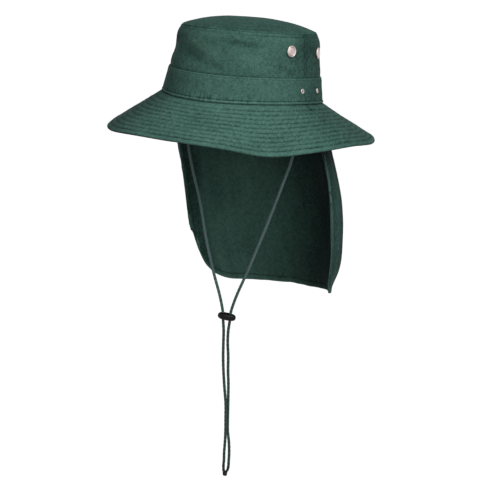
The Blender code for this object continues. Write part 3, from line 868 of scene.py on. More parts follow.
def brim_stations():
    """Distances outwards for the rings of the brim's cloth, closer beside each row of stitches."""
    under_crown = -(CROWN_WALL + GAP + BAND_WALL)
    radius = BRIM_WALL / 2
    rounded = [radius * (1 - math.cos(math.radians(turn))) for turn in (0, 30, 60, 90)]
    places = [under_crown, -1.5 * MM, 0.0, 1.5 * MM, 4.0 * MM]
    places += [BRIM_WIDTH - way for way in rounded] + [BRIM_WIDTH - 2.4 * MM, BRIM_WIDTH - 4.0 * MM]
    for row in brim_rows():
        places += [row + side * way * MM for side in (-1, 1) for way in (0.25, 0.6, 1.2, 2.0)]
        places += [row, row - 3.2 * MM]
    return sorted(places, reverse=True)


def add_brim_half(name, start, finish):
    """One half of the brim, from side seam to side seam."""
    span = 2 * SIDE_SEAM
    middle_girth = girth_at(span) * BRIM_GIRTH
    radius = BRIM_WALL / 2
    columns = [start + span * arc / middle_girth for arc in spaced(middle_girth, 1.45 * MM, radius)]

    def edge(angle, outwards):
        from_seam = min(angle - start, start + span - angle)
        return min(girth_at(from_seam) * BRIM_GIRTH, BRIM_WIDTH - outwards)

    def flat(angle, outwards):
        point = brim_surface(angle, outwards)
        return point.x, point.y

    return lay_cloth(
        name, columns, brim_stations(), brim_point, brim_relief, edge, BRIM_WALL, flat, finish
    )


# Flap


def flap_way(angle_share, down):
    """A place on the flap's flat cloth, in metres across from its middle and down."""
    length = flap_length(angle_share) - corner_drop(angle_share)
    return angle_share * FLAP_HALF_GIRTH, down * length


def flap_from_edge(angle_share, down):
    """Distance on the flat cloth from the flap's nearest free edge."""
    across, along = flap_way(angle_share, down)
    radius = corner_radius(angle_share)
    side = FLAP_HALF_GIRTH - abs(across)
    foot = flap_length(angle_share) - along
    if side < radius and foot < radius:
        return max(radius - math.hypot(radius - side, radius - foot), 0.0)
    return max(min(side, foot), 0.0)


def flap_relief(angle_share, down):
    """The turned hem, its sunk row, soft waves that hang down the cloth, and their painted light and
    shade.
    """
    across, along = flap_way(angle_share, down)
    from_edge = flap_from_edge(angle_share, down)
    row = bump(from_edge, FLAP_HEM_ROW, 0.6 * MM)
    hem = 1 - ease(FLAP_HEM_ROW, FLAP_HEM_ROW + 0.8 * MM, from_edge)
    pucker = ripple((across + along) / (3.5 * MM), (across - along) / (7 * MM), 3.0)
    pucker *= bump(from_edge, FLAP_HEM_ROW, 3.5 * MM)
    fold = ripple(across / (11 * MM), along / (75 * MM), 4.0)
    wave = 0.8 * fold + 0.3 * ripple(across / (6 * MM), along / (28 * MM), 9.0)
    free = ease(0.0, 25 * MM, along)
    outer = (0.15 * hem - 0.28 * row + 0.18 * pucker) * MM + free * wave * MM
    inner = (0.55 * hem - 0.28 * row) * MM - free * wave * MM
    # Painted shade under the brim and towards the wearer's left and right edges
    dark = (FLAP_LEFT_SHADE + faded(FLAP_INSIDE_PAINTED_SHADE, angle_share)) * ease(0.25, -0.45, angle_share)
    dark += faded(FLAP_RIGHT_PAINTED_SHADE, angle_share) + faded(FLAP_TOP_PAINTED_SHADE, along)
    # Painted shade in the hem row, a paler hem, and painted light and shade on the puckers and waves
    shade = 0.8 - 4.2 * row + 0.8 * hem + 0.6 * pucker + 1.1 * wave - dark
    # Painted highlight along the free edges
    shade += 5.5 * bump(from_edge, 0.0, 1.6 * MM)
    return Relief(outer, inner, shade)


def flap_columns(step):
    """Places across the flap, closer in its rounded corners."""
    shares = []
    for sign, radius in ((-1, FLAP_CORNER_LEFT), (1, FLAP_CORNER_RIGHT)):
        count = math.ceil(radius * math.pi / 2 / step)
        for i in range(count + 1):
            way = radius * (1 - math.cos(math.pi / 2 * i / count))
            shares.append(sign * (1 - way / FLAP_HALF_GIRTH))
        rounding = FLAP_WALL / 2
        shares += [sign * (1 - way * rounding / FLAP_HALF_GIRTH) for way in (0.13, 0.5, 1.0)]
    left = -FLAP_HALF_GIRTH + FLAP_CORNER_LEFT
    right = FLAP_HALF_GIRTH - FLAP_CORNER_RIGHT
    count = round((right - left) / step)
    shares += [(left + (right - left) * i / count) / FLAP_HALF_GIRTH for i in range(1, count)]
    return sorted(set(shares))


def add_flap(finish):
    """The neck flap, hanging plumb from under the back of the brim."""
    rounding = FLAP_WALL / 2
    ways = spaced(FLAP_LENGTH, 1.6 * MM, rounding)
    rows = [1.0 - way / FLAP_LENGTH for way in ways]

    return lay_cloth(
        "neck_flap_cloth",
        flap_columns(1.7 * MM),
        rows,
        flap_surface,
        flap_relief,
        flap_from_edge,
        FLAP_WALL,
        flap_way,
        finish,
    )


# Cord


def cord_frames(path):
    """A side and an up direction at each point of a path, carried along it without twist."""
    ahead = (path[1] - path[0]).normalized()
    side = ahead.cross(Vector((0.0, 1.0, 0.0))).normalized()
    frames = []
    for i in range(len(path)):
        start, end = path[max(i - 1, 0)], path[min(i + 1, len(path) - 1)]
        ahead = (end - start).normalized()
        side = (side - ahead * side.dot(ahead)).normalized()
        frames.append((side, ahead.cross(side)))
    return frames


def add_cord(name, route, finish):
    """One strand of twisted cord along a route, with closed ends."""
    rings, sides = CORD_RINGS, CORD_SIDES
    path = smooth_route(route, rings + 1)
    frames = cord_frames(path)
    step = line_length(path) / rings

    def ply(side, ring):
        turn = 2 * math.pi * (side / sides - ring * step / CORD_TWIST_PITCH)
        return abs(math.cos(turn)) ** 0.7

    def place(side, ring):
        turn = 2 * math.pi * side / sides
        end = min(ring, rings - ring)
        radius = CORD_DIAMETER / 2 * (0.97 + 0.13 * ply(side, ring)) * min(end, 1)
        aside, up = frames[ring]
        return path[ring] + (aside * math.cos(turn) + up * math.sin(turn)) * radius

    piece = primitive("grid", name, x_subdivisions=sides, y_subdivisions=rings, size=1.0)
    mesh = piece.data
    uvs = mesh.uv_layers.active.data
    for loop in mesh.loops:
        u, v = uvs[loop.index].uv
        uvs[loop.index].uv = (u * math.pi * CORD_DIAMETER, v * step * rings)
    ply_shade_and_painted_light = mesh.attributes.new("ply", "FLOAT", "POINT").data
    for vert in mesh.vertices:
        side, ring = round((vert.co.x + 0.5) * sides), round((vert.co.y + 0.5) * rings)
        vert.co = place(side, ring)
        # Painted shade between the two plies, and the cord darker below the stopper
        uneven_strength = (0.35 + 0.65 * ply(side, ring)) * (1.0 - faded(CORD_DARKER_BELOW_STOPPER, vert.co.z))
        # Painted highlight high up the strands, over the flap; darker where the cord was singed near
        # the knot
        ply_shade_and_painted_light[vert.index].value = uneven_strength + faded(CORD_LIT, vert.co.z) - faded(CORD_SINGED, vert.co.z)
    tube = bmesh.new()
    tube.from_mesh(mesh)
    bmesh.ops.remove_doubles(tube, verts=tube.verts, dist=MERGE_DISTANCE)
    bmesh.ops.recalc_face_normals(tube, faces=tube.faces)
    tube.to_mesh(mesh)
    tube.free()
    mesh.shade_smooth()
    mesh.materials.append(finish)
    return piece, path


# Finishes


class Wire:
    """A shader socket that Python sums can be written with."""

    def __init__(self, finish, socket):
        self.finish = finish
        self.socket = socket

    def math(self, operation, *others):
        sockets = dict(enumerate((self, *others)))
        return self.finish.node("ShaderNodeMath", {"operation": operation}, sockets)

    def __add__(self, other):
        return self.math("ADD", other)

    def __mul__(self, other):
        return self.math("MULTIPLY", other)

    def __sub__(self, other):
        return self.math("SUBTRACT", other)


class Finish:
    """One material and its nodes."""

    def __init__(self, name, sockets):
        self.material = bpy.data.materials.new(name)
        self.material.use_nodes = True
        self.tree = self.material.node_tree
        self.shader = self.tree.nodes["Principled BSDF"]
        for socket, value in sockets.items():
            self.shader.inputs[socket].default_value = value

    def node(self, kind, settings, sockets, output=0):
        """Add a node: its settings first, then the values or wires of its sockets."""
        node = self.tree.nodes.new(kind)
        for name, value in settings.items():
            setattr(node, name, value)
        for key, value in sockets.items():
            if isinstance(value, Wire):
                self.tree.links.new(value.socket, node.inputs[key])
            else:
                node.inputs[key].default_value = value
        return Wire(self, node.outputs[output])

    def coordinates(self, output):
        return self.node("ShaderNodeTexCoord", {}, {}, output)

    def stretched(self, coordinates, scale):
        return self.node("ShaderNodeMapping", {}, {"Vector": coordinates, "Scale": scale})

    def clouds(self, coordinates, scale, detail=2.0, roughness=0.5):
        """Noise from 0 to 1 at a scale per metre."""
        sockets = {"Vector": coordinates, "Scale": scale, "Detail": detail, "Roughness": roughness}
        return self.node("ShaderNodeTexNoise", {}, sockets)

    def attribute(self, name):
        settings = {"attribute_type": "GEOMETRY", "attribute_name": name}
        return self.node("ShaderNodeAttribute", settings, {}, "Fac")

    def mixed(self, amount, one, other):
        settings = {"data_type": "RGBA", "clamp_factor": True}
        return self.node("ShaderNodeMix", settings, {0: amount, 6: one, 7: other}, 2)

    def bumped(self, height, distance, strength):
        sockets = {"Height": height, "Distance": distance, "Strength": strength}
        return self.node("ShaderNodeBump", {}, sockets)

    def feed(self, socket, wire):
        self.tree.links.new(wire.socket, self.shader.inputs[socket])


def grey(value):
    """A colour of one brightness."""
    return (value, value, value, 1.0)


def tinted(colour, *shares):
    """A colour with its channels taken times one share, or each times its own."""
    return (*(channel * share for channel, share in zip(colour[:3], shares * 3)), 1.0)


def cloth_finish(settings):
    """Matt woven cloth in deep green, with random grain, painted shade in its creases and painted
    highlights on raised edges.
    """
    sockets = {
        "Roughness": 0.92,
        "Specular IOR Level": 0.08,
        "Sheen Weight": 0.02,
        "Sheen Roughness": 0.45,
    }
    finish = Finish("green_cloth", sockets)
    base = tinted(settings.cloth_colour, 1.0)
    place = finish.coordinates("Object")
    cloth = finish.coordinates("UV")
    weave = settings.weave_pitch
    warp = finish.clouds(finish.stretched(cloth, (1 / weave, 0.25 / weave, 1.0)), 1.0, 1.0)
    weft = finish.clouds(finish.stretched(cloth, (0.25 / weave, 1 / weave, 1.0)), 1.0, 1.0)
    threads = (warp + weft) * 0.5
    slub_up = finish.clouds(finish.stretched(cloth, (820.0, 230.0, 1.0)), 1.0, 1.0)
    slub_across = finish.clouds(finish.stretched(cloth, (230.0, 820.0, 1.0)), 1.0, 1.0)
    slubs = slub_up + slub_across - 1.0
    mottle = finish.clouds(place, 210.0, 3.0, 0.6)
    patch = finish.clouds(place, 26.0, 2.0)
    shade = finish.attribute("shade")
    grain = (threads - 0.5) * 1.15 + slubs * 1.35
    # The shade attribute carries painted light and shade; threads, slubs, mottle and patches are the
    # cloth's own random tone
    light = grain + (mottle - 0.5) * 1.4 + (patch - 0.5) * 0.9 + shade * 0.30
    # Painted shade and darker grain go towards dark and deep, painted light and paler grain towards
    # pale
    deep = tinted(base, 0.10, 0.10, 0.12)
    dark = tinted(base, 0.36, 0.40, 0.42)
    pale = tinted(base, 1.85, 1.62, 1.62)
    colour = finish.mixed(light * -1.0, base, dark)
    colour = finish.mixed(light * -1.0 - 1.0, colour, deep)
    colour = finish.mixed(light, colour, pale)
    finish.feed("Base Color", colour)
    height = threads * 0.35 + slubs * 0.35 + mottle * 0.4
    finish.feed("Normal", finish.bumped(height, 0.45 * MM, 0.8))
    return finish.material


def thread_finish(settings):
    """Polyester sewing thread, a little glossier and darker than the cloth."""
    finish = Finish("sewing_thread", {"Roughness": 0.6, "Specular IOR Level": 0.2})
    colour = tinted(settings.thread_colour, 1.0)
    twist = finish.clouds(finish.coordinates("Object"), 900.0, 2.0)
    finish.feed("Base Color", finish.mixed(twist, colour, tinted(colour, 1.5)))
    return finish.material


def metal_finish(settings):
    """Satin nickel with a warm tone and fine scratches."""
    finish = Finish("satin_nickel", {"Metallic": 1.0})
    place = finish.coordinates("Object")
    scratch = finish.clouds(place, 1400.0, 3.0, 0.7)
    tarnish = finish.clouds(place, 260.0, 2.0)
    tone = tinted(settings.metal_colour, 1.0)
    finish.feed("Base Color", finish.mixed(tarnish * 0.6, tone, tinted(tone, 0.72)))
    finish.feed("Roughness", scratch * 0.22 + 0.2)
    finish.feed("Normal", finish.bumped(scratch, 0.02 * MM, 0.4))
    return finish.material


def cord_finish(settings):
    """Matt twisted cord, with painted shade between its two plies and a paler colour for its painted
    highlight.
    """
    finish = Finish("cord_braid", {"Roughness": 0.75, "Specular IOR Level": 0.2})
    strand = finish.coordinates("UV")
    fibres = finish.clouds(finish.stretched(strand, (2400.0, 900.0, 1.0)), 1.0, 2.0)
    patch = finish.clouds(finish.coordinates("Object"), 120.0, 2.0)
    dark = tinted(settings.cord_colour, 0.3)
    pale = tinted(settings.cord_colour, 1.7)
    ply_shade_and_painted_light = finish.attribute("ply")
    # The ply attribute carries painted shade between plies and a painted highlight; fibres and patches
    # are the cord's own tone
    light = ply_shade_and_painted_light * 0.8 + fibres * 0.5 + patch * 0.4 - 0.35
    colour = finish.mixed(light, dark, pale)
    # A paler colour for the painted highlight high up the strands
    painted_highlight_colour = tinted(settings.painted_highlight_cord_colour, 1.0)
    finish.feed("Base Color", finish.mixed(light - 1.0, colour, painted_highlight_colour))
    finish.feed("Normal", finish.bumped(fibres, 0.1 * MM, 0.6))
    return finish.material


def plastic_finish(name, roughness, colour, lump):
    """Black plastic, moulded smooth or melted rough."""
    finish = Finish(name, {"Specular IOR Level": 0.14})
    place = finish.coordinates("Object")
    marks = finish.clouds(place, 700.0, 3.0)
    pale = tuple(channel * 2.2 + 0.002 for channel in colour) + (1.0,)
    finish.feed("Base Color", finish.mixed(marks * 0.5, (*colour, 1.0), pale))
    finish.feed("Roughness", marks * 0.2 + roughness * 0.8)
    finish.feed("Normal", finish.bumped(marks, lump, 0.5))
    return finish.material


# Hard pieces


def turn_piece(name, profile, steps, finish):
    """A round piece drawn out ring by ring from a circle; profile holds (radius, height)."""
    radius, height = profile[0]
    piece = primitive("circle", name, vertices=steps, radius=radius, location=(0, 0, 0))
    bpy.ops.object.mode_set(mode="EDIT")
    bpy.ops.mesh.select_all(action="SELECT")
    bpy.ops.transform.translate(value=(0, 0, height))
    for (old, low), (new, high) in zip(profile, profile[1:]):
        rise = {"value": (0, 0, high - low)}
        bpy.ops.mesh.extrude_region_move(TRANSFORM_OT_translate=rise)
        grow = new / old
        bpy.ops.transform.resize(value=(grow, grow, 1.0), center_override=(0, 0, high))
    bpy.ops.mesh.select_all(action="SELECT")
    bpy.ops.mesh.remove_doubles(threshold=0.000005)
    bpy.ops.mesh.normals_make_consistent(inside=False)
    bpy.ops.object.mode_set(mode="OBJECT")
    piece.data.shade_smooth()
    piece.data.materials.append(finish)
    return piece


def copy_to(piece, name, seat):
    """A copy of a piece with its own mesh, put in its place."""
    mesh = piece.data.copy()
    mesh.name = name
    mesh.transform(seat)
    return make_object(name, mesh)


def side_places(from_seam, heights):
    """The four places of a pair of fittings on each side: name, angle and height share."""
    for side, sign in (("left", 1), ("right", -1)):
        for place, apart, height in zip(("front", "back"), from_seam, heights):
            yield f"{side}_{place}", sign * (SIDE_SEAM + apart), height


def cut_holes(cloth, cutters):
    """Cut round holes through a piece of cloth and take the cutters away."""
    for cutter in cutters:
        pick(cloth)
        cut = cloth.modifiers.new("hole", "BOOLEAN")
        cut.operation = "DIFFERENCE"
        cut.solver = "EXACT"
        cut.object = cutter
        bpy.ops.object.modifier_apply(modifier=cut.name)
        bpy.data.objects.remove(cutter, do_unlink=True)


def hole_cutter(seat):
    """A short round punch at an eyelet."""
    depth = 4 * (CROWN_WALL + GAP + BAND_WALL)
    radius = EYELET_BARREL / 2 + HOLE_PLAY
    punch = primitive("cylinder", "punch", vertices=24, radius=radius, depth=depth)
    punch.data.transform(seat)
    return punch


# Settings


def colour_setting(name, what, default):
    """A colour that the panel can change."""
    return FloatVectorProperty(
        name=name,
        description=f"Colour of {what}",
        default=default,
        size=3,
        subtype="COLOR",
        min=0.0,
        max=1.0,
    )


def length_setting(name, description, default, least, most):
    """A length in metres that the panel can change."""
    return FloatProperty(
        name=name, description=description, default=default, unit="LENGTH", min=least, max=most
    )


class HatClothSettings(bpy.types.PropertyGroup):
    """Colours and sizes of the cloth and the thread."""

    cloth_colour: colour_setting("Cloth", "the cloth", (0.072, 0.173, 0.139))
    thread_colour: colour_setting("Thread", "the sewing thread", (0.022, 0.055, 0.045))
    weave_pitch: length_setting("Weave", "Width of one thread of the cloth", 0.0006, 0.0002, 0.003)
    stitch_pitch: length_setting(
        "Stitch pitch", "Distance from one stitch to the next", 0.0031, 0.001, 0.01
    )
    stitch_length: length_setting(
        "Stitch length", "Length of the thread that shows in one stitch", 0.0021, 0.0005, 0.01
    )


class HatTrimSettings(bpy.types.PropertyGroup):
    """Colours of the studs, the cord and its ends."""

    metal_colour: colour_setting("Metal", "the press studs and the eyelets", (0.56, 0.47, 0.45))
    cord_colour: colour_setting("Cord", "the chin cord", (0.056, 0.118, 0.102))
    # Colour of the painted highlight high up the cord
    painted_highlight_cord_colour: colour_setting("Cord highlight", "the painted highlight on the cord", (0.20, 0.31, 0.30))
    plastic_colour: colour_setting("Stopper", "the cord stopper", (0.004, 0.004, 0.005))
    melt_colour: colour_setting("Knob", "the melted knob", (0.008, 0.010, 0.010))


class HatStageSettings(bpy.types.PropertyGroup):
    """Where the camera stands, and the light."""

    camera_azimuth: FloatProperty(
        name="Azimuth",
        description="How far the camera is turned towards the wearer's left",
        default=math.radians(36.0),
        subtype="ANGLE",
    )
    camera_elevation: FloatProperty(
        name="Elevation",
        description="How far the camera looks down",
        default=math.radians(12.0),
        subtype="ANGLE",
    )
    camera_distance: length_setting(
        "Distance", "From the camera to the middle of the hat", 1.7, 0.5, 10.0
    )
    key_power: FloatProperty(
        name="Light",
        description="Power of the main light, in watts",
        default=18.0,
        min=0.0,
        max=1000.0,
    )
    floor_height: length_setting("Floor", "Height of the floor", -1.9, -3.0, 0.0)


# Operators


class HAT_OT_stage(bpy.types.Operator):
    """Set up the camera, the lights and the floor"""

    bl_idname = "hat.stage"
    bl_label = "Stage"

    def execute(self, context):
        settings = context.scene.hat_stage
        turn, lift = settings.camera_azimuth, settings.camera_elevation
        back = Vector(
            (math.sin(turn) * math.cos(lift), -math.cos(turn) * math.cos(lift), math.sin(lift))
        )
        right = Vector((math.cos(turn), math.sin(turn), 0.0))
        target = Vector((0.0, 0.0, CAMERA_AIM_HEIGHT)) - right * CAMERA_SHIFT
        camera_data = bpy.data.cameras.new("camera")
        camera_data.sensor_width = 36.0
        camera_data.lens = CAMERA_LENS_MM
        camera_data.clip_end = 200.0
        camera = make_object("camera", camera_data)
        camera.location = target + back * settings.camera_distance
        camera.rotation_euler = back.to_track_quat("Z", "Y").to_euler()
        context.scene.camera = camera
        for name, turn, lift, share in STUDIO_LIGHTS:
            self.add_light(name, turn, lift, settings.key_power * share)
        self.add_floor(settings.floor_height)
        world = bpy.data.worlds.new("studio")
        world.use_nodes = True
        background = world.node_tree.nodes["Background"]
        background.inputs["Color"].default_value = (1.0, 1.0, 1.0, 1.0)
        world.cycles_visibility.diffuse = False
        context.scene.world = world
        context.scene.view_settings.view_transform = "Standard"
        return {"FINISHED"}

    def add_light(self, name, turn, lift, power):
        """A soft square light that faces the hat from a direction round it and above it."""
        data = bpy.data.lights.new(name, "AREA")
        data.size = LIGHT_SIZE
        data.energy = power
        light = make_object(name, data)
        turn, lift = math.radians(turn), math.radians(lift)
        level = math.cos(lift)
        towards = Vector((math.sin(turn) * level, -math.cos(turn) * level, math.sin(lift)))
        light.location = Vector((0.0, 0.0, LIGHT_AIM_HEIGHT)) + towards * LIGHT_DISTANCE
        light.rotation_euler = towards.to_track_quat("Z", "Y").to_euler()

    def add_floor(self, height):
        """A wide white floor."""
        floor = primitive("plane", "floor", size=FLOOR_SIZE, location=(0.0, 0.0, height))
        sockets = {
            "Base Color": grey(0.95),
            "Roughness": 1.0,
            "Emission Color": grey(1.0),
            "Emission Strength": 1.0,
        }
        finish = Finish("white_floor", sockets)
        floor.data.materials.append(finish.material)
        floor.visible_diffuse = False


class HAT_OT_cords(bpy.types.Operator):
    """Lay the two strands of the chin cord, with the stopper and the knot on them"""

    bl_idname = "hat.cords"
    bl_label = "Chin cord"

    def execute(self, context):
        trim = context.scene.hat_trim
        finish = cord_finish(trim)
        stopper = self.add_stopper(trim)
        knot = self.add_knot(trim)
        for side, route, pieces in (
            ("left", CORD_LEFT_ROUTE, [stopper, knot]),
            ("right", CORD_RIGHT_ROUTE, []),
        ):
            cord, path = add_cord(f"chin_cord_{side}_strand", route, finish)
            settle(cord, [f"chin_cord_{side}"])
            tuple(path[0])
            line_length(path)
            [tuple(point) for point in path[::5]]
            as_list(pieces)
        return {"FINISHED"}

    def add_stopper(self, trim):
        """The oval bead that slides on both strands."""
        bead = primitive("uv_sphere", "cord_stopper_bead", segments=64, ring_count=32, radius=1.0)
        half = Vector((STOPPER_LENGTH, STOPPER_THICKNESS, STOPPER_THICKNESS)) / 2
        turn = Matrix.Rotation(math.radians(STOPPER_TURN), 4, "Z")
        slant = Matrix.Rotation(math.radians(STOPPER_SLANT), 4, "Y")
        seat = Matrix.Translation(STOPPER_CENTRE) @ turn @ slant
        for vert in bead.data.vertices:
            vert.co = Vector(
                math.copysign(abs(way) ** STOPPER_ROUNDNESS, way) * size
                for way, size in zip(vert.co, half)
            )
        bead.data.transform(seat)
        along = turn @ Vector((1.0, 0.0, 0.0))
        punches = []
        for side in (-1, 1):
            bore = CORD_DIAMETER / 2 + CORD_PLAY
            punch = primitive("cylinder", "punch", vertices=32, radius=bore, depth=STOPPER_LENGTH)
            centre = STOPPER_CENTRE + along * side * STOPPER_HOLE_SPACING / 2
            punch.data.transform(Matrix.Translation(centre))
            punches.append(punch)
        bead.data.shade_smooth()
        colour = tuple(trim.plastic_colour)
        bead.data.materials.append(plastic_finish("stopper_plastic", 0.2, colour, 0.01 * MM))
        cut_holes(bead, punches)
        settle(bead, ["cord_stopper"])
        return bead

    def add_knot(self, trim):
        """The small melted knob that joins the strands, with a collar up over their ends."""
        knob = primitive("uv_sphere", "cord_knot_melt", segments=32, ring_count=20, radius=1.0)
        centre = KNOT_TOP - Vector((0.0, 0.0, (KNOT_HEIGHT - KNOT_COLLAR) / 2))
        half = Vector((KNOT_DIAMETER, KNOT_DIAMETER, KNOT_HEIGHT + KNOT_COLLAR)) * 0.52
        for vert in knob.data.vertices:
            lump = 1.0 + 0.10 * ripple(*(vert.co * 1.7 + Vector((4, 1, 2))))
            blunt = [math.copysign(abs(way) ** KNOT_BLUNTNESS, way) * lump for way in vert.co]
            vert.co = centre + Vector(way * size for way, size in zip(blunt, half))
        knob.data.shade_smooth()
        colour = tuple(trim.melt_colour)
        knob.data.materials.append(plastic_finish("melted_cord", 0.45, colour, 0.2 * MM))
        settle(knob, ["cord_knot"])
        return knob


class HAT_OT_crown(bpy.types.Operator):
    """Sew the crown's two side panels and its tip"""

    bl_idname = "hat.crown"
    bl_label = "Crown"

    def execute(self, context):
        finish = cloth_finish(context.scene.hat_cloth)
        for name, start in (("crown_front", -SIDE_SEAM), ("crown_back", SIDE_SEAM)):
            panel = add_crown_side(f"{name}_cloth", start, finish)
            settle(panel, [name])
        settle(add_crown_tip(finish), ["crown_tip"])
        sew_on(context, "crown_stitching", self.stitch_runs())
        return {"FINISHED"}

    def stitch_runs(self):
        """Rows of stitches under the tip's seam and beside the side seams."""
        top = CROWN_HEIGHT - TIP_WALL - CROWN_TOP_ROW
        ring = [(angle, top) for angle in range(0, 361, 2)]
        runs = [seam_run(crown_point, crown_relief, ring, 0.5, 1 * MM)]
        aside = SIDE_SEAM + FELL_SEAM / girth_at(1.0)
        for angle in (aside, -aside):
            heights = [BAND_HEIGHT - 2 * MM + way * MM for way in range(0, 46)]
            track = [(angle, height) for height in heights if height < top - 1 * MM]
            runs.append(seam_run(crown_point, crown_relief, track, 0.5, 1 * MM))
        return runs


class HAT_OT_band(bpy.types.Operator):
    """Sew the band round the foot of the crown"""

    bl_idname = "hat.band"
    bl_label = "Band"

    def execute(self, context):
        band = add_band(bpy.data.materials["green_cloth"])
        settle(band, ["hat_band"])
        runs = []
        for height in (BAND_WELT + 0.3 * MM, BAND_HEIGHT - BAND_TOP_ROW):
            track = [(angle, height) for angle in range(0, 361, 2)]
            runs.append(seam_run(band_point, band_relief, track, 0.5, 1 * MM))
        sew_on(context, "band_stitching", runs)
        return {"FINISHED"}


class HAT_OT_brim(bpy.types.Operator):
    """Sew the two halves of the brim, with their rows of stitches"""

    bl_idname = "hat.brim"
    bl_label = "Brim"

    def execute(self, context):
        finish = bpy.data.materials["green_cloth"]
        for name, start in (("brim_front", -SIDE_SEAM), ("brim_back", SIDE_SEAM)):
            half = add_brim_half(f"{name}_cloth", start, finish)
            settle(half, [name])
            sew_on(context, f"{name}_stitching", self.stitch_runs(start))
        return {"FINISHED"}

    def stitch_runs(self, start):
        """Rows of stitches on both faces of one half of the brim."""
        runs = []
        for row in brim_rows():
            track = [(start + 1.0 + 178.0 * i / 120, row) for i in range(121)]
            over = seam_run(brim_point, brim_relief, track, 0.5, -1 * MM)
            thickness = BRIM_WALL - 2 * BRIM_GROOVE + 0.1 * MM
            runs += [over, under_run(over, thickness)]
        return runs


class HAT_OT_flap(bpy.types.Operator):
    """Hang the neck flap, with its hem"""

    bl_idname = "hat.flap"
    bl_label = "Neck flap"

    def execute(self, context):
        flap = add_flap(bpy.data.materials["green_cloth"])
        settle(flap, ["neck_flap"])
        over = self.hem_run()
        thread = sew_on(context, "flap_stitching", [over, under_run(over, FLAP_WALL + 0.35 * MM)])
        2 * FLAP_HALF_GIRTH
        return {"FINISHED"}

    def hem_run(self):
        """The row of stitches that follows the flap's two sides, corners and foot."""
        inset = FLAP_HEM_ROW
        track = []
        for sign in (-1, 1):
            radius = corner_radius(sign)
            side = FLAP_HALF_GIRTH - inset
            down_side = [
                (sign * side, along * MM) for along in range(8, round(1000 * FLAP_LENGTH), 3)
            ]
            foot = flap_length(sign)
            down_side = [place for place in down_side if place[1] < foot - radius]
            corner = []
            for step in range(0, 19):
                turn = math.radians(5.0 * step)
                across = FLAP_HALF_GIRTH - radius + (radius - inset) * math.cos(turn)
                along = flap_length(sign * across / FLAP_HALF_GIRTH) - radius
                corner.append((sign * across, along + (radius - inset) * math.sin(turn)))
            half = down_side + corner
            track += half if sign < 0 else self.foot_track(track, half) + half[::-1]
        seats = []
        for across, along in track:
            share = across / FLAP_HALF_GIRTH
            down = along / (flap_length(share) - corner_drop(share))
            seats.append((share, down))
        return seam_run(flap_surface, flap_relief, seats, 0.004, -0.004)

    def foot_track(self, left, right):
        """Places along the foot between the two corners."""
        start, end = left[-1][0], right[-1][0]
        count = round((end - start) / (3 * MM))
        track = []
        for i in range(1, count):
            across = start + (end - start) * i / count
            track.append((across, flap_length(across / FLAP_HALF_GIRTH) - FLAP_HEM_ROW))
        return track


class HAT_OT_studs(bpy.types.Operator):
    """Fit the four press stud caps"""

    bl_idname = "hat.studs"
    bl_label = "Press studs"

    def execute(self, context):
        finish = metal_finish(context.scene.hat_trim)
        radius = STUD_DIAMETER / 2
        profile = [
            (radius * share, STUD_RISE * height)
            for share, height in (
                (0.0005, 0.90),
                (0.30, 0.90),
                (0.55, 0.88),
                (0.64, 0.84),
                (0.69, 0.62),
                (0.72, 0.42),
                (0.76, 0.42),
                (0.80, 0.66),
                (0.86, 0.90),
                (0.92, 0.88),
                (0.98, 0.66),
                (1.00, 0.40),
                (0.985, 0.14),
                (0.95, 0.0),
                (0.0005, 0.0),
            )
        ]
        cap = turn_piece("stud_pattern", profile, 48, finish)
        for place, angle, height in side_places(STUDS_FROM_SEAM, STUD_HEIGHT_SHARES):
            seat = TIP @ crown_seat(angle, height, GAP)
            stud = copy_to(cap, f"press_stud_{place}_cap", seat)
            settle(stud, [f"press_stud_{place}"])
        bpy.data.objects.remove(cap, do_unlink=True)
        return {"FINISHED"}


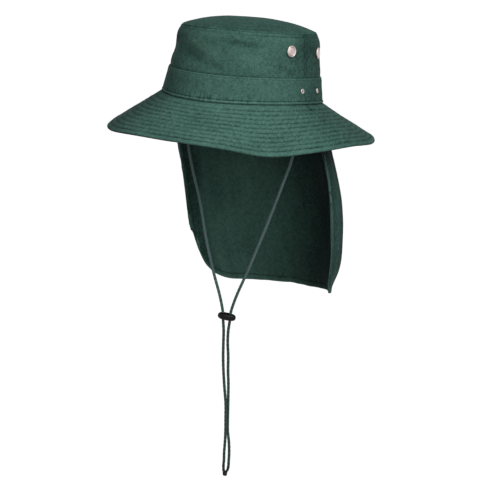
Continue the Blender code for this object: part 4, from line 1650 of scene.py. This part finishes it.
class HAT_OT_eyelets(bpy.types.Operator):
    """Punch the four vent holes and set an eyelet in each"""

    bl_idname = "hat.eyelets"
    bl_label = "Eyelets"

    def execute(self, context):
        finish = bpy.data.materials["satin_nickel"]
        hole, barrel, rim = EYELET_HOLE / 2, EYELET_BARREL / 2, EYELET_DIAMETER / 2
        through = CROWN_WALL + GAP + BAND_WALL
        flange = EYELET_FLANGE
        profile = [
            (hole, GAP + flange * 0.4),
            (hole * 1.12, GAP + flange * 0.8),
            (hole * 1.4, GAP + flange),
            (rim * 0.75, GAP + flange * 0.95),
            (rim * 0.92, GAP + flange * 0.6),
            (rim, GAP + flange * 0.1),
            (rim * 0.95, GAP - flange * 0.1),
            (barrel, GAP - flange * 0.1),
            (barrel, -through - GAP),
            (rim * 0.95, -through - GAP),
            (rim, -through - GAP - flange * 0.2),
            (rim * 0.86, -through - GAP - flange),
            (hole * 1.2, -through - GAP - flange),
            (hole, -through - GAP - flange * 0.5),
            (hole, GAP + flange * 0.4),
        ]
        ring = turn_piece("eyelet_pattern", profile, 36, finish)
        for place, angle, height in side_places(EYELETS_FROM_SEAM, [EYELET_HEIGHT_SHARE] * 2):
            seat = TIP @ crown_seat(angle, height, GAP + BAND_WALL)
            eyelet = copy_to(ring, f"eyelet_{place}_ring", seat)
            settle(eyelet, [f"eyelet_{place}"])
            panel = "crown_front_cloth" if place.endswith("front") else "crown_back_cloth"
            for cloth in (panel, "hat_band_cloth"):
                cut_holes(bpy.data.objects[cloth], [hole_cutter(seat)])
        bpy.data.objects.remove(ring, do_unlink=True)
        return {"FINISHED"}


class HAT_PT_panel(bpy.types.Panel):
    """Buttons and settings for the hat"""

    bl_idname = "HAT_PT_panel"
    bl_label = "Wide Brim Hat"
    bl_space_type = "VIEW_3D"
    bl_region_type = "UI"
    bl_category = "Hat"

    def draw(self, context):
        for group in (context.scene.hat_cloth, context.scene.hat_trim, context.scene.hat_stage):
            box = self.layout.box()
            for name in group.__annotations__:
                box.prop(group, name)
        for operator in OPERATORS:
            self.layout.operator(operator.bl_idname)


GROUPS = {
    "hat_cloth": HatClothSettings,
    "hat_trim": HatTrimSettings,
    "hat_stage": HatStageSettings,
}
OPERATORS = (
    HAT_OT_stage,
    HAT_OT_cords,
    HAT_OT_crown,
    HAT_OT_band,
    HAT_OT_brim,
    HAT_OT_flap,
    HAT_OT_studs,
    HAT_OT_eyelets,
)


def register():
    """Add the settings, the operators and the panel."""
    for cls in (*GROUPS.values(), *OPERATORS, HAT_PT_panel):
        bpy.utils.register_class(cls)
    for name, group in GROUPS.items():
        setattr(bpy.types.Scene, name, PointerProperty(type=group))


def unregister():
    """Take them away again."""
    for name in GROUPS:
        delattr(bpy.types.Scene, name)
    for cls in reversed((*GROUPS.values(), *OPERATORS, HAT_PT_panel)):
        bpy.utils.unregister_class(cls)


def main():
    """Make the whole hat, piece by piece."""
    register()
    bpy.ops.hat.stage()
    bpy.ops.hat.cords()
    bpy.ops.hat.crown()
    bpy.ops.hat.band()
    bpy.ops.hat.brim()
    bpy.ops.hat.flap()
    bpy.ops.hat.studs()
    bpy.ops.hat.eyelets()


if __name__ == "__main__":
    main()
